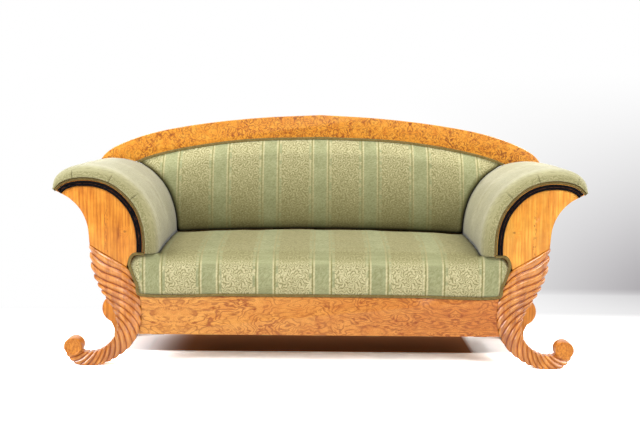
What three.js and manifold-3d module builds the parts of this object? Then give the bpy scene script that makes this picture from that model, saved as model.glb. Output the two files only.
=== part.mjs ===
import * as THREE from 'three';
import { mergeVertices } from 'three/addons/utils/BufferGeometryUtils.js';
import Module from 'manifold-3d';

const wasm = await Module();
wasm.setup();

// A scroll-armed sofa: carved front legs, boxed arms, an arched back and a sprung seat.
// Millimetres, +Z up, front towards -Y. Right-hand pieces are drawn and mirrored for the left.
// While it is drawn, depth is counted back from the plane of the legs' front faces.

// Clearances and overruns
const joint = 0.3; // glue line or close fit between two pieces
const scribe = 0.6; // a piece trimmed to a curved neighbour
const overrun = 20; // how far a cutter runs past what it cuts

// Seat frame
const railTop = 283; // floor to the top of the seat rails
const railHeight = 154;
const frontRailThick = 32;
const frontRailInset = 12; // the rail's face behind the legs' front plane
const sideRailThick = 30;
const sideRailFace = 796; // middle of the sofa to a side rail's outer face
const backRailThick = 34;
const backRailInset = 11.7; // the back rail's rear face behind the rear legs' backs
const braceThick = 40;
const braceHeight = 70;
const braceDish = 22; // how far a brace's top sags in its middle
const bracePlace = 140; // middle of the sofa to a brace
const blockSide = 60; // glue block in a seat corner
const tenonLength = 34;
const tenonThick = 12;
const tenonShoulder = 22; // rail left bare above and below a tenon
const tenonFit = 0.4;

// Carved front leg, a horn with rope ridges that ends in a curled foot
const legRise = 490; // floor to the leg's highest corner
const legRoot = 723; // middle of the sofa to where the leg's outline is measured from
const legSpan = 293; // from there to the outside of the curled foot
const legTopWidth = 156;
const edgeTurnShare = 0.4; // where a rounded edge meets the flat side, through the thickness
const legThick = 58;
const legCrown = 14; // how far the carved face rounds back at its edges
const ridgeDepth = 8;
const ridgeSpacing = 42; // from groove to groove at the top
const rollRadius = 36; // the disc in the curl of the foot
const rollProud = 6;
const rollRim = 5;
const roundSteps = 28; // facets round the disc and its bore

// Front arm board and its trim
const armRoot = 691; // middle of the sofa to the arm's inner face
const armSpan = 355; // from there to the arm's tip
const armFoot = 452; // floor to the lower end of the arm's curve
const armRise = 299; // from there to the top of the arm
const facingInset = 8;
const gimpWidth = 11;
const armGimpWidth = 8.5;
const gimpThick = 3;
const woodLine = 4.5; // bare wood between gimp and moulding
const mouldingWidth = 19.5;
const mouldingProud = 7.5;

// Arm box and its stuffing
const rearBoardThick = 44;
const armBack = 600; // front plane to the rear face of the arms, at the height of the rail top
const panelThick = 10;
const panelInset = 3;
const baseRailSide = 30;
const baseRailHeight = 44;
const clothThick = 1.5;
const armPadThick = 45;
const armPadRoll = 62; // how far back the front edge of the stuffing rolls
const armPadRearRoll = 26;

// Back
const rakeShare = 0.085; // how far the back leans for each unit of height
const crestTop = 998;
const crestSpan = 1015; // middle of the sofa to the crest's end
const crestThick = 40;
const crestBevel = 2.4;
const stileWidth = 70;
const stileOuter = 690;
const stileThick = 28;
const muntinWidth = 50;
const muntinPlace = 235;
const lowerRailHeight = 60;
const lowerRailTop = 500;
const backPadFoot = 66; // thickness of the back's stuffing at its foot, before its belly is added
const backPadHead = 34;
const backPadBelly = 26;
const backPadLip = 6;
const backPadTuck = 2.4; // how far it starts inside the arms' stuffing before it is scribed to it
const backCornerDrop = 2.25; // from the crest's foot down to its upper corners

// Rear leg, a plain board with a round lobe
const lobeReach = 913; // middle of the sofa to the lobe's centre
const lobeHeight = 125;
const lobeRadius = 64;
const rearFootInner = 830;
const rearFootOuter = 922;
const rearFootNotch = 36;

// Seat stuffing
const seatFront = 436; // floor to the front edge of the seat
const seatBack = 490;
const seatSideDrop = 16;
const seatEar = 759; // middle of the sofa to the outer end of the seat's front border
const seatEarTop = 458;
const seatEarDrop = 50; // from the top of the border's end down to the leg
const seatBulge = 10;
const seatEdgeRoll = 30;
const seatCrownBend = 0.6; // how soon the seat's crown rises, as a power
const seatPadBack = 590;

// Springs and webbing
const webWidth = 50;
const webThick = 2;
const wire = 3.4;
const springRadius = 50;
const springWaist = 30;
const springCurlCount = 4;
const springColumnCount = 5;
const springRowNames = ['front', 'rear'];
const springPitch = 280;
const springRowPitch = 250;
const springRowStart = 190;
const seatWebCount = 7;
const seatCrossWebCount = 3;
const backWebCount = 7;
const backCrossWebCount = 2;

// Outlines, as shares of the sizes named above
// The horn's spine: across the leg's span, up its rise, and its width
const hornShares = [
  [0.382, 1.005, 1], [0.369, 0.815, 0.93], [0.266, 0.654, 0.87], [0.181, 0.556, 0.795],
  [0.133, 0.464, 0.718], [0.119, 0.365, 0.64], [0.145, 0.279, 0.565], [0.203, 0.209, 0.5],
  [0.294, 0.147, 0.44], [0.416, 0.094, 0.385], [0.546, 0.06, 0.365], [0.666, 0.049, 0.37],
  [0.776, 0.057, 0.37], [0.857, 0.082, 0.32], [0.933, 0.122, 0.22],
];
// Ridges crossed from a groove's middle to the leg's edge, at shares of the spine
const slantShares = [
  [0, 1.2], [0.08, 1.65], [0.16, 2.5], [0.25, 1.95], [0.35, 1.75],
  [0.5, 1.2], [0.7, 1.3], [0.85, 1.1], [1, 0.5],
];
// How much closer the ridges lie further down, and how much their grooves wind, at shares of the spine
const spacingShares = [[0, 1], [0.4, 0.84], [0.7, 0.57], [1, 0.57]];
const windingShares = [[0, 0.1], [0.35, 0], [1, 0]];
// The arm's curve from its foot to its tip: across the arm's span and up its rise
const armShares = [
  [0, 0], [0, 0.194], [0.028, 0.411], [0.101, 0.622], [0.265, 0.843],
  [0.434, 0.957], [0.628, 1], [0.814, 0.98], [0.927, 0.923], [1, 0.839],
];
// The arm's hollow outer edge, from its tip to the top of the leg, in the same shares
const hollowShares = [[0.918, 0.793], [0.82, 0.722], [0.71, 0.585], [0.637, 0.395], [0.611, 0.127]];
// The rest of the side panel, down the leg's outer edge, as shares of the leg's span and rise
const flankShares = [[0.6, 0.831], [0.49, 0.659], [0.386, 0.557], [0.325, 0.469], [0.3, 0.408]];
// The crest's two edges: across its span, and up from the rail top to the crest's top
const crestTopShares = [
  [0, 1], [0.268, 0.98], [0.533, 0.938], [0.734, 0.885], [0.865, 0.824],
  [0.946, 0.764], [0.985, 0.698], [1, 0.604],
];
const crestFootShares = [
  [0, 0.86], [0.299, 0.846], [0.495, 0.814], [0.692, 0.761], [0.806, 0.71], [0.867, 0.663], [0.901, 0.604],
];
// The ridge's rise from groove to groove, and the places across the horn that are sampled
const ridgeShares = [0, 0.95, 0.8];
const acrossShares = [-1, -0.8, -0.45, 0, 0.45, 0.8, 1];
// Where along the arm its stuffing starts to thin, and what is left at the tip, squared
const armThinShare = 0.78;
const armTipShare = 0.05;
const armThinBend = 1.5;
// Two points inside the leg, where the arm board's outline runs before it is scribed to the leg
const legInsideShares = [[0.6, 0.9], [0.2, 0.75]];
// The rear leg's lobe as shares of half a turn, and how far in its foot's inner edge starts to fall
const lobeTurnShares = [0.64, -0.38];
const heelShare = 0.45;
// The stuffing's rolled edges, as shares of a quarter turn
const frontRollShares = [0, 0.3, 0.6, 0.85, 1];
const rearRollShares = [1, 0.6, 0.25, 0];
// How much closer the springs' curls lie at their ends
const springGatherShare = 0.75;
// The seat's stuffing: the front border's bulge and height, and where its bulge fades
const borderShares = [[0, 0], [-0.75, 0.3], [-1, 0.62], [-0.5, 0.86]];
const bulgeFadeShares = [0.85, 1];
const bulgeLeftShare = 0.15;
// The places back along the seat, out across it and out along its border's end that are sampled
const seatDepthShares = [0.02, 0.08, 0.2, 0.42, 0.68, 0.9];
const seatShelfShares = [0.3, 0.6, 0.9];
const seatAcrossShares = [0, 0.2, 0.4, 0.6, 0.78, 0.92, 1];
const seatEarShares = [0.06, 0.45, 0.7, 0.86, 0.95, 1.04];
// The back's stuffing: the rows that are sampled, and how far its edges roll over
const backRowShares = [0, 0.05, 0.14, 0.35, 0.6, 0.8, 0.88, 0.93];
const headRollShare = 0.16;
const bellyBend = 0.8;
const footRollShares = [0.03, 0.1];
const sideRollShares = [1.01, 0.04];
// The braid's corner between leg and rail, and how far back on the seat's border it lies
const gimpTurnShares = [0.25, 1.3];
const gimpSeatShare = 0.3;
// The rounded end of the seat's front border: out from the arm's foot, and down from its top
const earShares = [[0.04, 0], [0.62, 0.02], [0.84, 0.25], [0.96, 0.58], [1.07, 1.2]];
// Half of the reeded moulding: across one bead, and its height
const beadShares = [[0, 0.35], [0.18, 0.8], [0.5, 1], [0.82, 0.8], [1, 0.2]];
const gimpShares = [[0, 0.3], [0.25, 1], [0.5, 0.6], [0.75, 1], [1, 0.3]];

// Finishes
function finish(color, roughness, metalness = 0) {
  return new THREE.MeshStandardMaterial({ color, roughness, metalness });
}
const polishedWood = finish('#c9853c', 0.35);
const blackWood = finish('#17171b', 0.25);
const frameWood = finish('#b98f5e', 0.7);
const stripedCloth = finish('#8f9c74', 0.85);
const plainCloth = finish('#a9ad86', 0.85);
const braid = finish('#857a4c', 0.8);
const jute = finish('#a98d62', 0.95);
const springSteel = finish('#8b8478', 0.45, 1);

const sofa = new THREE.Group();
const point = (x, z) => new THREE.Vector3(x, 0, z);
const mix = THREE.MathUtils.lerp;

// Solids
function toSolid(geometry) {
  const bare = new THREE.BufferGeometry();
  bare.setAttribute('position', geometry.getAttribute('position').clone());
  if (geometry.index) bare.setIndex(geometry.index.clone());
  const merged = mergeVertices(bare);
  const vertProperties = Float32Array.from(merged.getAttribute('position').array);
  const triVerts = Uint32Array.from(merged.index.array);
  return new wasm.Manifold(new wasm.Mesh({ numProp: 3, vertProperties, triVerts }));
}

function toGeometry(solid) {
  const { vertProperties, triVerts } = solid.getMesh();
  const geometry = new THREE.BufferGeometry();
  geometry.setAttribute('position', new THREE.BufferAttribute(vertProperties, 3));
  return geometry.setIndex(new THREE.BufferAttribute(triVerts, 1));
}

function signedVolume(positions, index) {
  const [a, b, c] = [new THREE.Vector3(), new THREE.Vector3(), new THREE.Vector3()];
  let volume = 0;
  for (let i = 0; i < index.length; i += 3) {
    a.fromArray(positions, 3 * index[i]);
    b.fromArray(positions, 3 * index[i + 1]);
    c.fromArray(positions, 3 * index[i + 2]);
    volume += a.dot(b.cross(c));
  }
  return volume;
}

// Triangles over a flat ring, wound as the ring is
function capOf(ring) {
  const normal = new THREE.Vector3();
  ring.forEach((p, i) => {
    const q = ring[(i + 1) % ring.length];
    normal.x += (p.y - q.y) * (p.z + q.z);
    normal.y += (p.z - q.z) * (p.x + q.x);
    normal.z += (p.x - q.x) * (p.y + q.y);
  });
  const [ax, ay, az] = normal.toArray().map(Math.abs);
  const flat = ring.map((p) => {
    if (ax >= ay && ax >= az) return new THREE.Vector2(p.y, p.z);
    return ay >= az ? new THREE.Vector2(p.x, p.z) : new THREE.Vector2(p.x, p.y);
  });
  const turn = Math.sign(THREE.ShapeUtils.area(flat));
  return THREE.ShapeUtils.triangulateShape(flat, []).map(([i, j, k]) => {
    const same = Math.sign(THREE.ShapeUtils.area([flat[i], flat[j], flat[k]])) === turn;
    return same ? [i, j, k] : [i, k, j];
  });
}

// Triangles that pair the points of a ring's first half with those of its second.
// The ring turns back at its first point, or with a skip of one, between its last and first.
function foldedCap(ring, skip = 0) {
  const count = ring.length;
  const triangles = [];
  for (let i = 0; i < count / 2 - skip; i++) {
    const [a, b, c, d] = [i, i + 1, count - skip - i - 1, (count - skip - i) % count];
    if (b !== c) triangles.push([a, b, c]);
    if (a !== d) triangles.push([a, c, d]);
  }
  return triangles;
}

// One closed body through rings that have as many points each
function loft(rings, cap = capOf) {
  const count = rings[0].length;
  const last = (rings.length - 1) * count;
  const positions = rings.flat().flatMap((p) => p.toArray());
  const index = [];
  for (let row = 0; row < last; row += count) {
    for (let i = 0; i < count; i++) {
      const j = (i + 1) % count;
      index.push(row + i, row + j, row + count + j, row + i, row + count + j, row + count + i);
    }
  }
  cap(rings[0]).forEach(([i, j, k]) => index.push(i, k, j));
  cap(rings.at(-1)).forEach(([i, j, k]) => index.push(last + i, last + j, last + k));
  if (signedVolume(positions, index) < 0) index.reverse();
  const geometry = new THREE.BufferGeometry();
  geometry.setAttribute('position', new THREE.Float32BufferAttribute(positions, 3));
  return geometry.setIndex(index);
}

function block(x0, x1, y0, y1, z0, z1) {
  const box = new THREE.BoxGeometry(x1 - x0, y1 - y0, z1 - z0);
  return box.translate((x0 + x1) / 2, (y0 + y1) / 2, (z0 + z1) / 2);
}

// A board with its outline across and up, between two depths
function board(outline, y0, y1, bevel = 0) {
  const shape = new THREE.Shape(outline.map((p) => new THREE.Vector2(p.x, p.z)));
  const settings = { depth: y1 - y0 - 2 * bevel, bevelEnabled: bevel > 0, bevelSegments: 1 };
  Object.assign(settings, { bevelThickness: bevel, bevelSize: bevel, bevelOffset: -bevel });
  return new THREE.ExtrudeGeometry(shape, settings).rotateX(Math.PI / 2).translate(0, y1 - bevel, 0);
}

// A sheet with its outline across and back, between two heights
function sheet(corners, z0, z1) {
  const shape = new THREE.Shape(corners.map(([x, y]) => new THREE.Vector2(x, y)));
  return new THREE.ExtrudeGeometry(shape, { depth: z1 - z0, bevelEnabled: false }).translate(0, 0, z0);
}

function mirrored(geometry) {
  const copy = geometry.clone();
  copy.scale(-1, 1, 1);
  if (!copy.index) copy.setIndex([...Array(copy.getAttribute('position').count).keys()]);
  copy.setIndex(Array.from(copy.index.array).reverse());
  return copy;
}

function add(name, geometry, material) {
  const bare = new THREE.BufferGeometry();
  bare.setAttribute('position', geometry.getAttribute('position'));
  bare.setIndex(geometry.index);
  const mesh = new THREE.Mesh(bare, material);
  mesh.name = name;
  sofa.add(mesh);
}

function addPair(name, geometry, material) {
  add(name + '_right', geometry, material);
  add(name + '_left', mirrored(geometry), material);
}

// The back and the rear ends of the arms lean back as they rise
const lean = (z) => rakeShare * (z - railTop);
const midDepth = armBack / 2;

function leaned(geometry) {
  const places = geometry.getAttribute('position');
  for (let i = 0; i < places.count; i++) {
    const y = places.getY(i);
    if (y > midDepth) places.setY(i, y + lean(places.getZ(i)));
  }
  return geometry;
}

// Curves
const along = (points) => new THREE.CatmullRomCurve3(points, false, 'centripetal');
const armCurve = along(armShares.map(([x, z]) => point(armRoot + x * armSpan, armFoot + z * armRise)));
const hollow = hollowShares.map(([x, z]) => point(armRoot + x * armSpan, armFoot + z * armRise));
const flank = flankShares.map(([x, z]) => point(legRoot + x * legSpan, z * legRise));

// A point at a distance outside a curve, on its left as it runs
function beside(curve, t, out) {
  const tangent = curve.getTangent(t);
  return curve.getPoint(t).add(point(-tangent.z, tangent.x).multiplyScalar(out));
}

// What lies along one curve is drawn through the same stations, so that it runs parallel
const countTo = (count) => [...Array(count + 1).keys()];
const stations = (count, from = 0, to = 1) => countTo(count).map((i) => mix(from, to, i / count));
const armStations = stations(30);
const flankStations = stations(24);
const offsetLine = (curve, places, out) => places.map((t) => beside(curve, t, out));

// The arm's trim starts just above the seat's braid
const searchSteps = 240;
const trimFoot = stations(searchSteps).find((t) => armCurve.getPoint(t).z > seatEarTop + scribe);
const trimStations = [trimFoot, ...armStations.filter((t) => t > trimFoot)];

// A strip laid along a curve: its section is a list of distances outward and depths
function strip(curve, section, places) {
  return loft(places.map((t) => section.map(([out, y]) => beside(curve, t, out).setY(y))));
}

// Carved leg: the spine's curve runs across and up, and carries the width as its third coordinate
const hornPoint = ([x, z, w]) => new THREE.Vector3(legRoot + x * legSpan, z * legRise, w * legTopWidth);
const spine = along(hornShares.map(hornPoint));
const spineSteps = 240;

function lookUp(table, t) {
  const row = Math.max(1, table.findIndex(([key]) => key >= t));
  const [[k0, v0], [k1, v1]] = [table[row - 1], table[row]];
  return mix(v0, v1, (t - k0) / (k1 - k0));
}

const ridgeCounts = [0];
for (let i = 1; i <= spineSteps; i++) {
  const [a, b] = [spine.getPoint((i - 1) / spineSteps), spine.getPoint(i / spineSteps)];
  const spacing = ridgeSpacing * lookUp(spacingShares, i / spineSteps);
  ridgeCounts.push(ridgeCounts[i - 1] + Math.hypot(b.x - a.x, b.y - a.y) / spacing);
}

function ridgesAt(t) {
  const place = Math.min(t * spineSteps, spineSteps - 1);
  const i = Math.floor(place);
  return mix(ridgeCounts[i], ridgeCounts[i + 1], t * spineSteps - i);
}

// Where along the spine a groove line passes a place across the horn
function spineAt(phase, v) {
  let [low, high] = [0, 1];
  for (let halving = 0; halving < 30; halving++) {
    const t = (low + high) / 2;
    const bent = v - lookUp(windingShares, t) * Math.sin(Math.PI * v);
    if (ridgesAt(t) - lookUp(slantShares, t) * bent < phase) low = t;
    else high = t;
  }
  return (low + high) / 2;
}

// A ring of the horn along one groove line, with the carving's rise on its face and at its edges.
// Swell widens it and takes the carving off.
function hornRing(phase, rise, edgeRise, swell) {
  const place = (v, y) => {
    const t = spineAt(phase, v);
    const middle = spine.getPoint(t);
    const tangent = spine.getTangent(t);
    const run = Math.hypot(tangent.x, tangent.y);
    const across = new THREE.Vector2(-tangent.y / run, tangent.x / run);
    const size = middle.z / legTopWidth;
    const cut = swell > 0 ? 0 : ridgeDepth * Math.sqrt(size) * (1 - rise);
    const notch = swell > 0 ? -swell : (ridgeDepth / 2) * Math.sqrt(size) * (1 - edgeRise);
    const edge = Math.abs(v) === 1 ? notch : 0;
    const reach = -v * (middle.z / 2) + Math.sign(v) * edge;
    const x = middle.x + across.x * reach;
    const z = middle.y + across.y * reach;
    const depth = y === null ? legCrown * size * v * v + cut : y;
    return new THREE.Vector3(x, depth, swell > 0 ? z : Math.max(z, 0));
  };
  const front = swell > 0 ? -overrun : null;
  const back = swell > 0 ? legThick + joint : legThick;
  const side = swell > 0 ? legThick / 2 : mix(legCrown, legThick, edgeTurnShare);
  const rear = acrossShares.map((v) => place(v, back)).reverse();
  return [place(-1, side), ...acrossShares.map((v) => place(v, front)), place(1, side), ...rear];
}

function horn(swell, stepsPerRidge) {
  const first = lookUp(slantShares, 0);
  const last = ridgeCounts.at(-1) - lookUp(slantShares, 1);
  const count = Math.ceil((last - first) * stepsPerRidge);
  const rings = Array.from({ length: count + 1 }, (_, i) => {
    const phase = Math.min(first + i / stepsPerRidge, last);
    const rise = ridgeShares[i % ridgeShares.length];
    return hornRing(phase, rise, i === 0 ? 1 : rise, swell);
  });
  return toSolid(loft(rings, foldedCap));
}

// The leg without its carving, a little wide, to trim its neighbours by
const legEnvelope = horn(scribe, 2);
const legTrimTop = legEnvelope.add(legEnvelope.translate([0, 0, scribe]));

// Seat frame
const railFoot = railTop - railHeight;
const sideRailInner = sideRailFace - sideRailThick;
const rearBoardFront = armBack - rearBoardThick;
const frontRailBack = frontRailInset + frontRailThick;
const backRailBack = armBack + backRailInset;
const backRailFront = backRailBack - backRailThick;
const tenonFoot = railFoot + tenonShoulder;
const tenonTop = railTop - tenonShoulder;
const tenonDepth = (y0, y1) => [(y0 + y1 - tenonThick) / 2, (y0 + y1 + tenonThick) / 2];

// A tenon as limits along each axis, and the mortise that takes it
const tongue = (x, y) => toSolid(block(...x, ...y, tenonFoot, tenonTop));
const mortise = (x, y) => {
  const wide = ([low, high]) => [low - tenonFit, high + tenonFit];
  return toSolid(block(...wide(x), ...wide(y), tenonFoot - tenonFit, tenonTop + tenonFit));
};

const legFlank = legRoot + hornShares[5][0] * legSpan - (hornShares[5][2] * legTopWidth) / 2;
const frontTenonY = tenonDepth(frontRailInset, frontRailBack);
const frontTenonX = [legFlank - overrun, legFlank + tenonLength];
const sideTenonX = tenonDepth(sideRailInner, sideRailFace);
const sideTenonFrontY = [legThick - tenonLength / 2, legThick + overrun];
const sideTenonBackY = [rearBoardFront - overrun, rearBoardFront + tenonLength / 2];
const backTenonY = tenonDepth(backRailFront, armBack);
const backTenonX = [stileOuter - overrun, stileOuter + tenonLength];

const mirrorSolid = (solid) => solid.mirror([1, 0, 0]);

function frontRail() {
  const beam = toSolid(block(-legRoot, legRoot, frontRailInset, frontRailBack, railFoot, railTop));
  const trimmed = beam.subtract(legTrimTop).subtract(mirrorSolid(legTrimTop));
  const tenon = tongue(frontTenonX, frontTenonY);
  return toGeometry(trimmed.add(tenon).add(mirrorSolid(tenon)));
}
add('front_rail', frontRail(), polishedWood);

function backRail() {
  const beam = toSolid(block(-stileOuter, stileOuter, backRailFront, backRailBack, railFoot, railTop));
  const tenon = tongue(backTenonX, backTenonY);
  return leaned(toGeometry(beam.add(tenon).add(mirrorSolid(tenon))));
}
add('back_rail', backRail(), frameWood);

function sideRail() {
  const [y0, y1] = [legThick + joint, rearBoardFront - joint];
  const beam = toSolid(block(sideRailInner, sideRailFace, y0, y1, railFoot, railTop));
  const tenons = tongue(sideTenonX, sideTenonFrontY).add(tongue(sideTenonX, sideTenonBackY));
  return leaned(toGeometry(beam.add(tenons)));
}
addPair('side_rail', sideRail(), frameWood);

function brace() {
  const [y0, y1] = [frontRailBack + joint, backRailFront - joint];
  const top = stations(8).map((t) => {
    const sag = braceDish * Math.sin(Math.PI * t);
    return new THREE.Vector2(mix(y0, y1, t), railFoot + braceHeight - sag);
  });
  const shape = new THREE.Shape([new THREE.Vector2(y1, railFoot), new THREE.Vector2(y0, railFoot), ...top]);
  const beam = new THREE.ExtrudeGeometry(shape, { depth: braceThick, bevelEnabled: false });
  beam.rotateX(Math.PI / 2).rotateZ(Math.PI / 2).translate(bracePlace - braceThick / 2, 0, 0);
  return leaned(beam);
}
addPair('seat_brace', brace(), frameWood);

function cornerBlock(atBack) {
  const [x, y] = [sideRailInner - joint, atBack ? rearBoardFront - joint : legThick + joint];
  const run = atBack ? -blockSide : blockSide;
  const corners = [[x, y], [x - blockSide, y], [x, y + run]];
  return leaned(sheet(corners, railFoot + joint, railTop - 2 * joint));
}
addPair('corner_block_front', cornerBlock(false), frameWood);
addPair('corner_block_rear', cornerBlock(true), frameWood);

// Carved legs, with the disc that fills the curl of the foot
const rollCentre = (() => {
  const [x, z] = [hornShares.at(-1)[0] * legSpan + legRoot, hornShares.at(-1)[1] * legRise];
  return { x: x - rollRadius / 2, z: z + rollRadius / 2 };
})();
const rollDepth = legThick + rollProud;

function frontLeg() {
  const fit = rollRadius + joint;
  const bore = new THREE.CylinderGeometry(fit, fit, legThick + 2 * overrun, roundSteps);
  const hole = toSolid(bore.translate(rollCentre.x, legThick / 2, rollCentre.z));
  return toGeometry(
    horn(0, ridgeShares.length)
      .subtract(hole)
      .subtract(mortise(frontTenonX, frontTenonY))
      .subtract(mortise(sideTenonX, sideTenonFrontY)),
  );
}
addPair('front_leg', frontLeg(), polishedWood);

function footRoll() {
  const half = rollDepth / 2;
  const rim = rollRadius - rollRim;
  const profile = [
    [0, -half], [rollRadius, -half], [rollRadius, half - rollRim / 2], [rollRadius - rollRim / 2, half],
    [rim, half], [rim - rollRim / 2, half - rollRim / 2], [0, half - rollRim / 4],
  ];
  const disc = new THREE.LatheGeometry(profile.map(([r, y]) => new THREE.Vector2(r, y)), roundSteps);
  return disc.rotateX(Math.PI).translate(rollCentre.x, legThick - half, rollCentre.z);
}
addPair('foot_roll', toGeometry(toSolid(footRoll())), polishedWood);

// Front arm boards, scribed to the legs
const ear = along(earShares.map(([x, z]) => point(mix(armRoot, seatEar, x), seatEarTop - z * seatEarDrop)));
const legInside = legInsideShares.map(([x, z]) => point(legRoot + x * legSpan, z * legRise));

function facing() {
  const outline = [
    ...offsetLine(armCurve, armStations, 0),
    ...along(hollow).getPoints(14),
    ...legInside,
    ...ear.getPoints(8).reverse(),
  ];
  return toGeometry(toSolid(board(outline, facingInset, legThick)).subtract(legTrimTop));
}
addPair('arm_facing', facing(), polishedWood);

function armMoulding() {
  const outer = -(armGimpWidth + woodLine);
  const base = facingInset - joint;
  const inner = outer - mouldingWidth;
  const half = mouldingWidth / 2;
  const first = beadShares.map(([x, h]) => [outer - x * half, base - h * mouldingProud]);
  const second = beadShares.map(([x, h]) => [inner + x * half, base - h * mouldingProud]).reverse();
  const section = [[outer, base], ...first, ...second.slice(1), [inner, base]];
  return strip(armCurve, section, trimStations.slice(0, -1));
}
addPair('arm_moulding', armMoulding(), blackWood);

function gimpSection(edge, base, width) {
  const cords = gimpShares.map(([x, h]) => [edge - x * width, base - h * gimpThick]);
  return [[edge, base], ...cords, [edge - width, base]];
}
const armGimpSection = gimpSection(-joint, facingInset - joint, armGimpWidth);
addPair('gimp_arm', strip(armCurve, armGimpSection, trimStations), braid);

// Rear leg, a plain board whose outer edge follows the side panel down to a round lobe
const flankCurve = along([...hollow, ...flank]);
const rearLegInner = stileOuter + joint;

function rearLeg() {
  const lobe = stations(14, ...lobeTurnShares).map((share) => {
    const turn = Math.PI * share;
    return point(lobeReach + lobeRadius * Math.cos(turn), lobeHeight + lobeRadius * Math.sin(turn));
  });
  const [head, lobeTop] = [armFoot - joint, lobeHeight + 2 * lobeRadius];
  const side = offsetLine(flankCurve, flankStations, 0).filter((p) => p.z < head && p.z > lobeTop);
  const foot = [point(rearFootOuter, rearFootNotch), point(rearFootOuter, 0), point(rearFootInner, 0)];
  const heelX = mix(rearLegInner, rearFootInner, heelShare);
  const heel = [point(heelX, railFoot / 2), point(rearLegInner, railFoot)];
  const top = [point(rearLegInner, head), point(side[0].x, head)];
  const plank = toSolid(board([...top, ...side, ...lobe, ...foot, ...heel], rearBoardFront, armBack));
  const mortises = mortise(backTenonX, backTenonY).add(mortise(sideTenonX, sideTenonBackY));
  return leaned(toGeometry(plank.subtract(mortises)));
}
addPair('rear_leg', rearLeg(), polishedWood);

function rearBoard() {
  const side = offsetLine(flankCurve, flankStations, 0).filter((p) => p.z > armFoot);
  const outline = [...offsetLine(armCurve, armStations, 0), ...side, point(side.at(-1).x, armFoot)];
  return leaned(board(outline, rearBoardFront, armBack));
}
addPair('arm_rear_board', rearBoard(), polishedWood);

function sidePanel() {
  const outer = offsetLine(flankCurve, flankStations.slice(1), -panelInset);
  const inner = offsetLine(flankCurve, flankStations.slice(1), -panelInset - panelThick).reverse();
  return leaned(board([...outer, ...inner], legThick + joint, rearBoardFront - joint));
}
addPair('arm_side_panel', sidePanel(), polishedWood);

function tipRail() {
  const upper = offsetLine(armCurve, armStations.slice(-7, -2), -joint);
  const lower = offsetLine(flankCurve, flankStations.slice(2, 5), -panelInset - panelThick - joint);
  return leaned(board([...upper, ...lower], legThick + joint, rearBoardFront - joint));
}
addPair('arm_tip_rail', tipRail(), frameWood);

function baseRail() {
  const [x0, z0] = [armRoot + 2 * joint, armFoot + joint];
  const [x1, z1] = [x0 + baseRailSide, z0 + baseRailHeight];
  return leaned(block(x0, x1, legThick + joint, rearBoardFront - joint, z0, z1));
}
addPair('arm_base_rail', baseRail(), frameWood);

// Arm coverings: a cloth tacked over both arm boards, and the stuffing on it
const armPadBase = 2 * joint + clothThick;

function armCloth() {
  const [inner, outer] = [joint, joint + clothThick];
  const section = [[inner, facingInset], [outer, facingInset], [outer, armBack], [inner, armBack]];
  return leaned(strip(armCurve, section, armStations));
}
addPair('arm_cloth', armCloth(), jute);

// Stuffing rolls over at the front and rear edges and thins towards the arm's tip
function armPad() {
  const rise = (share) => Math.sin((share * Math.PI) / 2);
  const inset = (share) => 1 - Math.cos((share * Math.PI) / 2);
  const rings = armStations.map((t) => {
    const pastShare = Math.max(0, (t - armThinShare) / (1 - armThinShare));
    const thick = armPadThick * Math.sqrt(Math.max(armTipShare, 1 - pastShare ** armThinBend));
    const out = (share) => armPadBase + thick * share;
    const frontRoll = frontRollShares.map((share) => [out(rise(share)), armPadRoll * inset(share)]);
    const rearEdge = (share) => armBack - armPadRearRoll * inset(share);
    const rearRoll = rearRollShares.map((share) => [out(rise(share)), rearEdge(share)]);
    const section = [...frontRoll, [out(1), midDepth], ...rearRoll];
    return section.map(([d, y]) => beside(armCurve, t, d).setY(y));
  });
  return leaned(loft(rings));
}
addPair('arm_pad', armPad(), stripedCloth);

// Back: stiles, rails and muntins under an arched crest
const crestPoint = ([x, z]) => point(x * crestSpan, railTop + z * (crestTop - railTop));
const crestTopCurve = along(crestTopShares.map(crestPoint));
const crestFootLine = along(crestFootShares.map(crestPoint)).getPoints(16);
const crestFront = armBack + joint;

// The height of the crest's lower edge at a distance from the middle of the sofa
function crestFootAt(x) {
  const found = crestFootLine.findIndex((p) => p.x >= Math.abs(x));
  const i = found < 0 ? crestFootLine.length - 1 : Math.max(1, found);
  const [a, b] = [crestFootLine[i - 1], crestFootLine[i]];
  return mix(a.z, b.z, (Math.abs(x) - a.x) / (b.x - a.x));
}

const frameFront = backRailBack + joint;
const frameBack = frameFront + stileThick;

function crest(drop, extra) {
  const right = [...crestFootLine].reverse();
  const top = crestTopCurve.getPoints(18);
  const left = (line) => line.slice(1).map((p) => point(-p.x, p.z));
  const whole = [...top, ...right, ...left([...right].reverse()), ...left(top).reverse()];
  const outline = whole.map((p) => point(p.x, p.z - drop));
  return board(outline, crestFront - extra, crestFront + crestThick + extra, extra > 0 ? 0 : crestBevel);
}
add('crest_rail', leaned(crest(0, 0)), polishedWood);

const crestCutter = toSolid(crest(joint, overrun));

function upright(x0, x1, foot) {
  const head = crestFootAt(x0) + overrun;
  return leaned(toGeometry(toSolid(block(x0, x1, frameFront, frameBack, foot, head)).subtract(crestCutter)));
}
addPair('back_stile', upright(stileOuter - stileWidth, stileOuter, railFoot), frameWood);
const muntinSides = [muntinPlace - muntinWidth / 2, muntinPlace + muntinWidth / 2];
addPair('back_muntin', upright(...muntinSides, lowerRailTop + joint), frameWood);

const stileInner = stileOuter - stileWidth - joint;
add(
  'back_lower_rail',
  leaned(block(-stileInner, stileInner, frameFront, frameBack, lowerRailTop - lowerRailHeight, lowerRailTop)),
  frameWood,
);

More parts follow.
